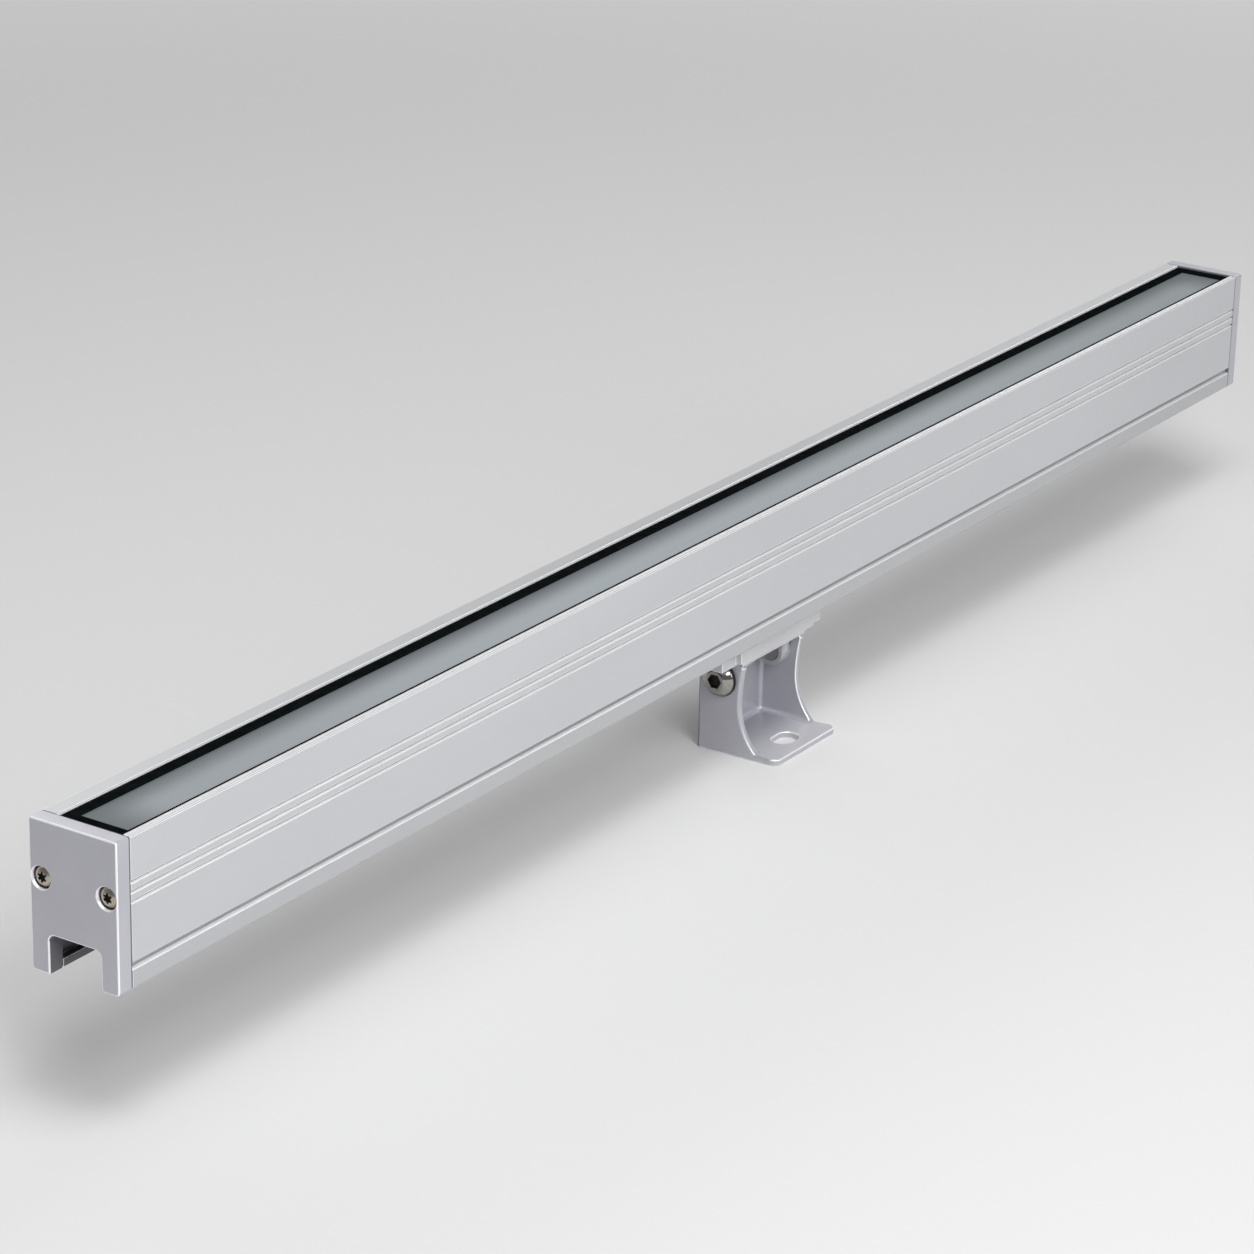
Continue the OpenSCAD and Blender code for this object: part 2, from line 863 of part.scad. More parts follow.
// Plan view of the foot with its round corners
module foot_plan() {
    difference() {
        span([-foot_w / 2, -foot_front], [foot_w / 2, foot_back]);
        for (s = [0, 1])
            mirror([s, 0]) {
                translate([foot_w / 2, -foot_front])
                    mirror([0, 1])
                        corner_off(foot_corner_r);
                translate([foot_w / 2, foot_back])
                    corner_off(foot_back_r);
            }
    }
}

// Cast foot: base, back wall and two cheeks
module foot_bracket() {
    color([0.6, 0.6, 0.64])
        difference() {
            intersection() {
                union() {
                    block([-foot_w / 2, -foot_front, 0], [foot_w / 2, foot_back, foot_base_t]);
                    block([-foot_w / 2, foot_back - foot_wall_t, 0], [foot_w / 2, foot_back, back_wall_h]);
                    for (x = [-foot_w / 2, cheek_in])
                        along_x(x, foot_wall_t)
                            cheek_profile();
                    foot_fillets();
                }
                linear_extrude(pivot_h + cheek_top_r + over)
                    foot_plan();
            }
            rod_x(-foot_w / 2 - over, 0, pivot_h, foot_w + 2 * over, pivot_r + pivot_gap);
            foot_slot();
            foot_rounds();
        }
}

// Round edges on the outside of the cheeks' tops and along the front of the base
module foot_rounds() {
    for (s = [0, 1])
        mirror([s, 0, 0])
            intersection() {
                translate([foot_w / 2, 0, pivot_h])
                    rotate([0, 90, 0])
                        rotate_extrude()
                            translate([cheek_top_r, 0])
                                corner_off(foot_round_r);
                block([0, -foot_front, pivot_h], [foot_w, foot_back + over, pivot_h + cheek_top_r + over]);
            }
    along_x(-foot_w / 2 - over, foot_w + 2 * over)
        translate([-foot_front, foot_base_t])
            mirror([1, 0])
                corner_off(foot_round_r);
}

// Fillets between the base, the back wall and the cheeks, cut to the cheeks' front edge
module foot_fillets() {
    intersection() {
        union() {
            along_x(-cheek_in, 2 * cheek_in)
                translate([foot_back - foot_wall_t, foot_base_t])
                    mirror([1, 0])
                        fillet(foot_fillet);
            for (s = [0, 1])
                mirror([s, 0, 0]) {
                    translate([-cheek_in, foot_back - foot_wall_t, foot_base_t])
                        rotate([90, 0, 0])
                            linear_extrude(foot_front + foot_back)
                                fillet(foot_fillet);
                    translate([-cheek_in, foot_back - foot_wall_t, foot_base_t])
                        linear_extrude(back_wall_h - foot_base_t)
                            mirror([0, 1])
                                fillet(foot_fillet);
                }
        }
        along_x(-foot_w / 2, foot_w)
            cheek_profile();
    }
}

// The slot that the fixing screw goes through
module foot_slot() {
    run = slot_l / 2 - slot_r;
    translate([0, -slot_y, -over]) {
        for (s = [-1, 1])
            translate([s * run, 0, 0])
                cylinder(h = foot_base_t + 2 * over, r = slot_r);
        translate([-run, -slot_r, 0])
            cube([2 * run, 2 * slot_r, foot_base_t + 2 * over]);
    }
}

// Cast block that slides in the channel and turns in the foot
module slider_block() {
    color([0.64, 0.64, 0.67])
        difference() {
            union() {
                difference() {
                    union() {
                        // Wings and neck in the channel
                        block(
                            [-slider_l / 2, -wing_w / 2, wing_z],
                            [slider_l / 2, wing_w / 2, wing_z + wing_t]
                        );
                        block(
                            [-slider_l / 2, -neck_w / 2, bar_z - slide_gap - over],
                            [slider_l / 2, neck_w / 2, wing_z + wing_t / 2]
                        );
                        // Narrower ends below the bar
                        block(
                            [-slider_l / 2, -tail_w / 2, tail_z],
                            [slider_l / 2, tail_w / 2, wing_z]
                        );
                        // Pads that bear under the lips
                        block(
                            [-pad_l / 2, -neck_w / 2 - pad_t, bar_z - slider_drop],
                            [pad_l / 2, neck_w / 2 + pad_t, bar_z - slide_gap]
                        );
                        // Skirts of the saddle
                        block(
                            [-foot_w / 2 - saddle_gap, -neck_w / 2, bar_z - skirt_drop],
                            [foot_w / 2 + saddle_gap, neck_w / 2, bar_z - slider_drop + over]
                        );
                    }
                    // Saddle over the cheeks' round tops
                    rod_x(-foot_w / 2 - saddle_gap, 0, pivot_h, foot_w + 2 * saddle_gap, saddle_r);
                }
                // Two lugs that hang between the cheeks
                for (x = [-lug_x, lug_x - lug_t])
                    along_x(x, lug_t)
                        union() {
                            translate([0, pivot_h])
                                circle(lug_r);
                            span([-lug_r, pivot_h], [lug_r, bar_z - slider_drop + over]);
                        }
            }
            rod_x(-foot_w / 2, 0, pivot_h, foot_w, pivot_r + thread_gap);
            for (s = [-1, 1])
                translate([s * lock_x, 0, tail_z - over])
                    cylinder(h = wing_z + wing_t - tail_z + 2 * over, r = lock_r + thread_gap);
        }
}

// Button head screw along +X, with the underside of its head at zero
module button_screw(l) {
    difference() {
        union() {
            translate([0, 0, -l])
                cylinder(h = l + pivot_head_h / 2, r = pivot_r);
            rotate_extrude()
                intersection() {
                    square([pivot_head_r, pivot_head_h]);
                    translate([0, pivot_head_h - dome_r()])
                        circle(dome_r());
                }
        }
        translate([0, 0, pivot_head_h - socket_d])
            cylinder(h = socket_d + over, r = socket_af / 2 / cos(30), $fn = 6);
    }
}

// Radius of the dome, which falls nearly the whole height at the head's edge
function dome_r() = (pivot_head_r * pivot_head_r + dome_fall() * dome_fall()) / (2 * dome_fall());
function dome_fall() = pivot_head_h - washer_t;

module pivot_screws() {
    color([0.8, 0.79, 0.77])
        for (m = [0, 1])
            mirror([m, 0, 0])
                translate([head_x, 0, pivot_h])
                    rotate([0, 90, 0])
                        button_screw(head_x - lug_x + lug_t);
}

// A washer on the pivot screw
module pivot_washer(x, t, r) {
    for (m = [0, 1])
        mirror([m, 0, 0])
            difference() {
                rod_x(x, 0, pivot_h, t, r);
                rod_x(x - over, 0, pivot_h, t + 2 * over, pivot_r + thread_gap);
            }
}

module head_washers() {
    color([0.07, 0.07, 0.08])
        pivot_washer(washer_x, washer_t, washer_r);
}

module friction_washers() {
    color([0.85, 0.85, 0.82])
        pivot_washer(lug_x, friction_t, lug_r);
}

// Grub screws that press on the channel's roof
module lock_screws() {
    color([0.7, 0.69, 0.67])
        for (s = [-1, 1])
            translate([s * lock_x, 0, roof_z - face_gap - lock_l])
                difference() {
                    cylinder(h = lock_l, r = lock_r);
                    translate([0, 0, -over])
                        cylinder(h = lock_r + over, r = lock_r / 2 / cos(30), $fn = 6);
                }
}

foot_bracket();
slider_block();
pivot_screws();
head_washers();
friction_washers();
lock_screws();
housing();
end_cap_left();
end_cap_right();
end_gasket_left();
end_gasket_right();
end_cap_screws();
glass_cover();
glass_seal();
lens_strip();
led_board();
led_lamps();
board_screws();
driver_board();
driver_parts();
lead_wires();
cable_gland();
gland_ring();
gland_nut();
gland_sleeve();
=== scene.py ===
import math

import bpy
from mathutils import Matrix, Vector


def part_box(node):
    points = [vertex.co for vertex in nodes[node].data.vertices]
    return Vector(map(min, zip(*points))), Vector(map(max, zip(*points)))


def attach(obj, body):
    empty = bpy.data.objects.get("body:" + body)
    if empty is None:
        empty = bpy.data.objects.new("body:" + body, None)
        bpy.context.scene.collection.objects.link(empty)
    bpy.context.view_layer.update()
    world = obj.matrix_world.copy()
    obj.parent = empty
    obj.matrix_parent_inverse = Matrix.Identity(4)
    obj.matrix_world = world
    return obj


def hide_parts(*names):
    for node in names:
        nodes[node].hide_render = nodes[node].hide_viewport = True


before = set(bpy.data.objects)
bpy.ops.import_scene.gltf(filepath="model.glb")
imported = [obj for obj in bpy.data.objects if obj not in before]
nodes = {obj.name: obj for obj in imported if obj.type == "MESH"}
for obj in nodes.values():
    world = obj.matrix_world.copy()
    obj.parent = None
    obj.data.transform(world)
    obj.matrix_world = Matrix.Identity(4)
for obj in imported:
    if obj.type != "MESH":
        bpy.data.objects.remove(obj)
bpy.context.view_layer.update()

# Camera: a long lens in front of the light and to its left, so the left end cap is nearest and
# the whole bar runs from the lower left corner of the picture to the upper right.
CAMERA_PLACE = (-0.9919, -0.6008, 0.4797)
CAMERA_TURN = (68.929, -1.349, -56.449)
SENSOR_WIDTH = 36
LENS_LENGTH = 120.65
bpy.ops.object.camera_add(location=CAMERA_PLACE, rotation=[math.radians(v) for v in CAMERA_TURN])
camera = bpy.context.object
camera.name = "camera"
camera.data.sensor_width = SENSOR_WIDTH
camera.data.lens = LENS_LENGTH
camera.data.clip_start = 0.01
camera.data.clip_end = 50
bpy.context.scene.camera = camera

# Studio: a pale matt floor under the foot, with a soft world that fills every shadow a little.
# To the camera alone, the far floor and the world show one even pale tone; they light as they are.
FLOOR_SIZE = 24
FLOOR_COLOUR = (0.64, 0.64, 0.64, 1)
WORLD_COLOUR = (0.2, 0.2, 0.2, 1)
BACKDROP = (0.74, 0.74, 0.74, 1)
BACKDROP_START = 0.7
BACKDROP_FULL = 1.7
bpy.ops.mesh.primitive_plane_add(size=FLOOR_SIZE, location=(0, 0, 0))
floor = bpy.context.object
floor.name = "studio_floor"
floor_paint = bpy.data.materials.new("studio_floor_paint")
floor_paint.use_nodes = True
floor_tree = floor_paint.node_tree
floor_shader = floor_tree.nodes["Principled BSDF"]
floor_shader.inputs["Base Color"].default_value = FLOOR_COLOUR
floor_shader.inputs["Roughness"].default_value = 0.9
floor_shader.inputs["Specular IOR Level"].default_value = 0.2
floor_place = floor_tree.nodes.new("ShaderNodeTexCoord").outputs["Object"]
from_foot = floor_tree.nodes.new("ShaderNodeVectorMath")
from_foot.operation = "LENGTH"
far_off = floor_tree.nodes.new("ShaderNodeMapRange")
far_off.interpolation_type = "SMOOTHSTEP"
far_off.inputs["From Min"].default_value = BACKDROP_START
far_off.inputs["From Max"].default_value = BACKDROP_FULL
camera_ray = floor_tree.nodes.new("ShaderNodeLightPath").outputs["Is Camera Ray"]
seen_far_off = floor_tree.nodes.new("ShaderNodeMath")
seen_far_off.operation = "MULTIPLY"
glow = floor_tree.nodes.new("ShaderNodeEmission")
glow.inputs["Color"].default_value = BACKDROP
floor_mix = floor_tree.nodes.new("ShaderNodeMixShader")
for output, socket in (
    (floor_place, from_foot.inputs[0]),
    (from_foot.outputs["Value"], far_off.inputs["Value"]),
    (far_off.outputs["Result"], seen_far_off.inputs[0]),
    (camera_ray, seen_far_off.inputs[1]),
    (seen_far_off.outputs["Value"], floor_mix.inputs["Fac"]),
    (floor_shader.outputs["BSDF"], floor_mix.inputs[1]),
    (glow.outputs["Emission"], floor_mix.inputs[2]),
    (floor_mix.outputs["Shader"], floor_tree.nodes["Material Output"].inputs["Surface"]),
):
    floor_tree.links.new(output, socket)
floor.data.materials.append(floor_paint)

world = bpy.data.worlds.new("studio_world")
bpy.context.scene.world = world
world.use_nodes = True
sky = world.node_tree.nodes["Background"]
sky.inputs["Strength"].default_value = 1
sky_mix = world.node_tree.nodes.new("ShaderNodeMix")
sky_mix.data_type = "RGBA"
sky_mix.inputs["A"].default_value = WORLD_COLOUR
sky_mix.inputs["B"].default_value = BACKDROP
sky_ray = world.node_tree.nodes.new("ShaderNodeLightPath")
world.node_tree.links.new(sky_ray.outputs["Is Camera Ray"], sky_mix.inputs["Factor"])
world.node_tree.links.new(sky_mix.outputs["Result"], sky.inputs["Color"])
bpy.context.scene.view_settings.view_transform = "Standard"

# Soft boxes: the main one in front of the near end, a broad one over the bar, a low one in front
# for the foot, and two behind the far end that make the upward faces and the edges shine.
for name, place, target, width, height, watts in (
    ("front_box", (-0.85, -1.1, 1.1), (-0.2, 0, 0.05), 0.7, 0.7, 16.2),
    ("top_box", (-0.35, -0.45, 1.6), (-0.1, 0, 0.05), 0.9, 0.7, 15.5),
    ("low_box", (0.25, -1.5, 0.6), (0, 0, 0.02), 1.2, 0.5, 5.4),
    ("edge_box", (1.6, 0.3, 1.1), (0, 0, 0.05), 0.8, 0.8, 4.3),
    ("back_box", (1.3, 2.4, 1.4), (0, 0, 0.05), 1.6, 0.8, 15),
):
    bpy.ops.object.light_add(type="AREA", location=place)
    lamp = bpy.context.object
    lamp.name = name
    lamp.data.shape = "RECTANGLE"
    lamp.data.size = width
    lamp.data.size_y = height
    lamp.data.energy = watts
    lamp.rotation_euler = (Vector(target) - Vector(place)).to_track_quat("-Z", "Y").to_euler()


# Housing: one aluminium extrusion, sawn to length, with a fine matt anodised skin. Its arrises and
# the upper lips of its grooves carry painted highlight, its groove walls and channel painted shade,
# and its lower skirts are painted darker as shade.
def tone(red, green, blue):
    """A display colour, 0 to 255, as the linear colour that a shader takes."""
    return tuple(
        c / 255 / 12.92 if c < 11 else ((c / 255 + 0.055) / 1.055) ** 2.4 for c in (red, green, blue)
    ) + (1,)


def new_finish(name, metallic=0.0, specular=0.5):
    """A material whose patterns can read the object's own coordinates."""
    finish = bpy.data.materials.new(name)
    finish.use_nodes = True
    shader = finish.node_tree.nodes["Principled BSDF"]
    shader.inputs["Metallic"].default_value = metallic
    shader.inputs["Specular IOR Level"].default_value = specular
    finish.node_tree.nodes.new("ShaderNodeTexCoord")
    return finish


def grain(finish, scale, stretch=(1, 1, 1), detail=3.0):
    """Noise in the object's own place, stretched where a finish has a direction."""
    tree = finish.node_tree
    place = tree.nodes.new("ShaderNodeMapping")
    place.inputs["Scale"].default_value = stretch
    noise = tree.nodes.new("ShaderNodeTexNoise")
    noise.inputs["Scale"].default_value = scale
    noise.inputs["Detail"].default_value = detail
    tree.links.new(tree.nodes["Texture Coordinate"].outputs["Object"], place.inputs["Vector"])
    tree.links.new(place.outputs["Vector"], noise.inputs["Vector"])
    return noise.outputs["Fac"]


def fade(finish, axis, start, end, least=0.0):
    """Rises to 1 from one place to another along an axis, in millimetres, with soft ends."""
    tree = finish.node_tree
    split = tree.nodes.new("ShaderNodeSeparateXYZ")
    span = tree.nodes.new("ShaderNodeMapRange")
    span.interpolation_type = "SMOOTHSTEP"
    span.inputs["From Min"].default_value = start / 1000
    span.inputs["From Max"].default_value = end / 1000
    span.inputs["To Min"].default_value = least
    tree.links.new(tree.nodes["Texture Coordinate"].outputs["Object"], split.inputs["Vector"])
    tree.links.new(split.outputs[axis], span.inputs["Value"])
    return span.outputs["Result"]


def multiply(finish, *factors):
    """The product of several factors."""
    tree = finish.node_tree
    product = factors[0]
    for factor in factors[1:]:
        step = tree.nodes.new("ShaderNodeMath")
        step.operation = "MULTIPLY"
        tree.links.new(product, step.inputs[0])
        tree.links.new(factor, step.inputs[1])
        product = step.outputs["Value"]
    return product


def shades(finish, socket, factor, low, high, start, end):
    """Runs a factor between two linear colours, into one socket of the shader."""
    tree = finish.node_tree
    ramp = tree.nodes.new("ShaderNodeValToRGB")
    ramp.color_ramp.elements[0].position = start
    ramp.color_ramp.elements[1].position = end
    ramp.color_ramp.elements[0].color = low
    ramp.color_ramp.elements[1].color = high
    tree.links.new(factor, ramp.inputs["Fac"])
    tree.links.new(ramp.outputs["Color"], tree.nodes["Principled BSDF"].inputs[socket])


def colour(finish, factor, low, high, start=0.3, end=0.7):
    """Runs the finish's colour between two display colours."""
    shades(finish, "Base Color", factor, tone(*low), tone(*high), start, end)


def roughness(finish, factor, low, high, start=0.3, end=0.7):
    """Runs the finish's roughness between two values."""
    shades(finish, "Roughness", factor, (low, low, low, 1), (high, high, high, 1), start, end)


def relief(finish, factor, strength, depth):
    """Turns a factor into fine relief."""
    tree = finish.node_tree
    bump = tree.nodes.new("ShaderNodeBump")
    bump.inputs["Strength"].default_value = strength
    bump.inputs["Distance"].default_value = depth
    tree.links.new(factor, bump.inputs["Height"])
    tree.links.new(bump.outputs["Normal"], tree.nodes["Principled BSDF"].inputs["Normal"])


def drawn_lines(finish):
    """The finest grain of an extrusion, drawn out along the bar."""
    return grain(finish, 2600, (0.05, 1, 1), 2.0)


def pick(piece):
    """Selects one object alone and makes it the active one."""
    bpy.ops.object.select_all(action="DESELECT")
    piece.select_set(True)
    bpy.context.view_layer.objects.active = piece


def modify(piece, kind, **settings):
    """Adds a modifier, sets it and applies it."""
    pick(piece)
    modifier = piece.modifiers.new(kind.lower(), kind)
    for name, value in settings.items():
        setattr(modifier, name, value)
    bpy.ops.object.modifier_apply(modifier=modifier.name)


def whole_skin(piece):
    """Merges the doubles of a mesh and makes its flat faces whole."""
    pick(piece)
    bpy.ops.object.mode_set(mode="EDIT")
    bpy.ops.mesh.select_all(action="SELECT")
    bpy.ops.mesh.remove_doubles(threshold=0.000002)
    bpy.ops.mesh.dissolve_limited(angle_limit=math.radians(0.6))
    bpy.ops.object.mode_set(mode="OBJECT")


def round_edges(piece, radius, chosen=None, segments=3, sharpness=30, painted_highlight_finish=-1):
    """Rounds the sharp edges, or those of them whose two ends, in millimetres, pass a test.
    Where the number of a painted highlight finish is given, the new edge faces take it."""
    pick(piece)
    bpy.ops.object.mode_set(mode="EDIT")
    bpy.ops.mesh.select_mode(type="EDGE")
    bpy.ops.mesh.select_all(action="DESELECT")
    bpy.ops.mesh.edges_select_sharp(sharpness=math.radians(sharpness))
    bpy.ops.object.mode_set(mode="OBJECT")
    mesh = piece.data
    sharp = [edge.index for edge in mesh.edges if edge.select]
    for part in (mesh.vertices, mesh.edges, mesh.polygons):
        part.foreach_set("select", [False] * len(part))
    for index in sharp:
        ends = [mesh.vertices[v].co * 1000 for v in mesh.edges[index].vertices]
        mesh.edges[index].select = chosen is None or chosen(*ends)
    bpy.ops.object.mode_set(mode="EDIT")
    bpy.ops.mesh.bevel(
        offset=radius / 1000, segments=segments, affect="EDGES", clamp_overlap=False, material=painted_highlight_finish
    )
    bpy.ops.object.mode_set(mode="OBJECT")


def along(axis, a, b):
    """Whether an edge runs along an axis, and isn't one of the short ones round a corner."""
    return abs(getattr(a, axis) - getattr(b, axis)) > 1


def smooth(piece, angle=50):
    """Shades round what is round, and keeps large faces flat."""
    pick(piece)
    bpy.ops.object.shade_smooth_by_angle(angle=math.radians(angle))
    modify(piece, "WEIGHTED_NORMAL", keep_sharp=True)


def lay_finishes(piece, finishes, number_of):
    """Gives a piece its finishes, and each face the one that a test numbers from its middle, in
    millimetres, and its normal."""
    piece.data.materials.clear()
    for finish in finishes:
        piece.data.materials.append(finish)
    for face in piece.data.polygons:
        face.material_index = number_of(face.center * 1000, face.normal)


def fit(piece, body, slot, finish, *replaced):
    """Gives a piece its main finish, its body and the CAD nodes that it stands for."""
    piece.data.name = piece.name
    if not piece.data.materials:
        piece.data.materials.append(finish)
    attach(piece, body)
    if replaced:
        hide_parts(*replaced)


bar_low, bar_high = (v * 1000 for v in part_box("housing"))
GROOVES_LOW = bar_low.z + 4.8
GROOVES_HIGH = bar_low.z + 29.8
GROOVE_FLOOR = bar_high.y - 1.2
GROOVE_MOUTH = bar_high.y - 0.05  # a face between these two is in a groove
CHANNEL_ROOM = 10.6
CHANNEL_ROOM_TOP = bar_low.z + 10.8
HEM_EDGE = 0.22  # the broken edge along the bottom of each side
HEM_TOP = bar_low.z + 0.8
ARRIS = 0.1
NEAR = 0.1
HAIR = 0.01
DRAWN = (0.3, 1, 1)
PAINTED_ARRIS_HIGHLIGHT = 1
PAINTED_GROOVE_SHADE = 2
PAINTED_CHANNEL_SHADE = 3

anodised = new_finish("anodised_aluminium", 0.55)
# The colour is painted darker below the broad groove, as painted shade on the lower skirts.
hem_shade = fade(anodised, "Z", bar_low.z + 4.7, bar_low.z + 5.9, 0.3)
mottle_and_painted_shade = multiply(anodised, grain(anodised, 9, DRAWN), hem_shade)
colour(anodised, mottle_and_painted_shade, (184, 185, 188), (214, 215, 218), 0.0, 0.8)
satin = drawn_lines(anodised)
roughness(anodised, satin, 0.40, 0.46)
relief(anodised, satin, 0.05, 0.00003)

# Painted highlight: rounded arrises and the upward faces in the grooves take this near white finish.
painted_highlight_arris = new_finish("painted_highlight_arris", 0.5)
colour(painted_highlight_arris, grain(painted_highlight_arris, 60, DRAWN), (244, 245, 246), (252, 253, 254))
roughness(painted_highlight_arris, drawn_lines(painted_highlight_arris), 0.28, 0.36)

# Painted shade: the walls inside the grooves take this darker finish.
painted_groove_shade = new_finish("painted_groove_shade", 0.4)
colour(painted_groove_shade, grain(painted_groove_shade, 40, DRAWN), (146, 147, 150), (158, 159, 162))
roughness(painted_groove_shade, drawn_lines(painted_groove_shade), 0.5, 0.6)

# Painted shade: the inside of the channel takes this darker finish.
painted_channel_shade = new_finish("painted_channel_shade", 0.4)
colour(painted_channel_shade, grain(painted_channel_shade, 40, DRAWN), (92, 93, 98), (104, 105, 110))
roughness(painted_channel_shade, drawn_lines(painted_channel_shade), 0.5, 0.6)


def housing_finish(spot, normal):
    """Painted highlight where a groove faces up, painted shade in the rest of it, darker painted shade
    in the channel.
    """
    if GROOVE_FLOOR < abs(spot.y) < GROOVE_MOUTH and GROOVES_LOW < spot.z < GROOVES_HIGH:
        return PAINTED_ARRIS_HIGHLIGHT if normal.z > 0.4 else PAINTED_GROOVE_SHADE
    if abs(spot.y) < CHANNEL_ROOM and spot.z < CHANNEL_ROOM_TOP:
        return PAINTED_CHANNEL_SHADE
    return 0


def on_hem(a, b):
    """The long edges along the bottom of the bar's two sides."""
    return min(abs(a.y), abs(b.y)) > bar_high.y - 0.2 and max(a.z, b.z) < HEM_TOP and along("x", a, b)


housing = bpy.data.objects.new("housing_extrusion", nodes["housing"].data.copy())
bpy.context.collection.objects.link(housing)
pick(housing)
bpy.ops.mesh.customdata_custom_splitnormals_clear()
whole_skin(housing)
lay_finishes(housing, (anodised, painted_highlight_arris, painted_groove_shade, painted_channel_shade), housing_finish)
# The rounded edges take the painted highlight finish.
round_edges(housing, HEM_EDGE, on_hem, painted_highlight_finish=PAINTED_ARRIS_HIGHLIGHT)
round_edges(housing, ARRIS, segments=2, painted_highlight_finish=PAINTED_ARRIS_HIGHLIGHT)
smooth(housing)
fit(housing, "bar", "anodised", anodised, "housing")


# Glass: one long tempered pane, etched on the outside. Its colour is painted darker along the back
# and at both ends as the rails' shade, with a long painted falloff towards both ends, and clears towards
# the front.
def add_block(name, low, high):
    """A box from its low to its high corner, in millimetres."""
    bpy.ops.mesh.primitive_cube_add(
        size=1,
        location=[(a + b) / 2000 for a, b in zip(low, high)],
        scale=[(b - a) / 1000 for a, b in zip(low, high)],
    )
    piece = bpy.context.object
    piece.name = name
    pick(piece)
    bpy.ops.object.transform_apply(location=True, rotation=True, scale=True)
    return piece


pane_low, pane_high = (v * 1000 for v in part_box("glass_cover"))
PANE_EDGE = 0.25
BACK_SHADE = (pane_high.y - 2.4, pane_low.y + 6.1)
END_SHADE = (1, 24)
LEFT_PAINTED_FALLOFF = 200
RIGHT_PAINTED_FALLOFF = 260
LEAST_PAINTED_FALLOFF = 0.72
frosted = new_finish("frosted_glass", specular=0.12)
# Painted shade: darker along the back and at both ends, and a long painted falloff of light towards both
# ends.
clear = multiply(
    frosted,
    fade(frosted, "Y", *BACK_SHADE),
    fade(frosted, "X", *(pane_low.x + reach for reach in END_SHADE)),
    fade(frosted, "X", *(pane_high.x - reach for reach in END_SHADE)),
    fade(frosted, "X", pane_low.x, pane_low.x + LEFT_PAINTED_FALLOFF, LEAST_PAINTED_FALLOFF),
    fade(frosted, "X", pane_high.x, pane_high.x - RIGHT_PAINTED_FALLOFF, LEAST_PAINTED_FALLOFF),
)
colour(frosted, clear, (92, 98, 101), (149, 155, 158), 0.0, 1.0)
frost = grain(frosted, 2200, detail=2.0)
roughness(frosted, frost, 0.36, 0.48)
relief(frosted, frost, 0.04, 0.00002)

pane = add_block("glass_pane", pane_low, pane_high)
round_edges(pane, PANE_EDGE, segments=2)
smooth(pane)
fit(pane, "bar", "frosted_glass", frosted, "glass_cover")


# Seal: a moulded rubber channel that holds the pane's edge all round. Its black face shows round
# the glass, broad at the back and narrow at the front.
def cut(piece, tool, operation="DIFFERENCE"):
    """Cuts a piece with a tool, or joins or crosses the two, and takes the tool away."""
    modify(piece, "BOOLEAN", operation=operation, object=tool, solver="EXACT")
    bpy.data.objects.remove(tool)


seal_low, seal_high = (v * 1000 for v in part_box("glass_seal"))
SEAL_END = 3.6
SEAL_FRONT = 1.2
SEAL_BACK = 3.4
SEAL_EDGE = 0.15
OVERRUN = 1  # how far a cutting tool stands out of what it cuts
rubber = new_finish("black_rubber", specular=0)
colour(rubber, grain(rubber, 400), (9, 11, 12), (17, 20, 21))
roughness(rubber, grain(rubber, 900, detail=1.0), 0.5, 0.65)
relief(rubber, grain(rubber, 1800, detail=1.0), 0.08, 0.00003)

seal = add_block("glass_seal_rubber", seal_low, seal_high)
cut(seal, add_block("pane_room", pane_low, pane_high))
window_low = seal_low + Vector((SEAL_END, SEAL_FRONT, -OVERRUN))
window_high = seal_high + Vector((-SEAL_END, -SEAL_BACK, OVERRUN))
cut(seal, add_block("window", window_low, window_high))
whole_skin(seal)
round_edges(seal, SEAL_EDGE, lambda a, b: min(a.z, b.z) > seal_high.z - HAIR, segments=2)
smooth(seal)
fit(seal, "bar", "black_rubber", rubber, "glass_seal")


# End caps: two castings of one pattern, powder coated a shade cooler than the extrusion.
# Each has the channel's shape cut through it, and two counterbores for its screws.
def add_rod(name, middle, axis, radius, length, sides=64):
    """A round bar through a middle point, along X or Z, in millimetres."""
    turn = {"X": (0, math.pi / 2, 0), "Z": (0, 0, 0)}[axis]
    bpy.ops.mesh.primitive_cylinder_add(
        vertices=sides,
        radius=radius / 1000,
        depth=length / 1000,
        location=[v / 1000 for v in middle],
        rotation=turn,
    )
    piece = bpy.context.object
    piece.name = name
    pick(piece)
    bpy.ops.object.transform_apply(location=True, rotation=True, scale=True)
    return piece


def pick_face(piece, highest):
    """Selects the highest or the lowest face of a piece alone, and stays in edit mode."""
    pick(piece)
    bpy.ops.object.mode_set(mode="EDIT")
    bpy.ops.mesh.select_mode(type="FACE")
    bpy.ops.mesh.select_all(action="DESELECT")
    bpy.ops.object.mode_set(mode="OBJECT")
    best = max if highest else min
    best(piece.data.polygons, key=lambda face: face.center.z).select = True
    bpy.ops.object.mode_set(mode="EDIT")


def shank(piece, step, length, slope=0):
    """Draws a narrower rod out of the underside of an upright one, past a step or a slope."""
    pick_face(piece, highest=False)
    bpy.ops.mesh.inset(thickness=step / 1000, depth=slope / 1000)
    bpy.ops.mesh.extrude_region_move(TRANSFORM_OT_translate={"value": (0, 0, -length / 1000)})
    bpy.ops.object.mode_set(mode="OBJECT")


def twin(piece, name):
    """A copy of a piece with its own mesh."""
    pick(piece)
    bpy.ops.object.duplicate()
    copy = bpy.context.object
    copy.name = name
    return copy


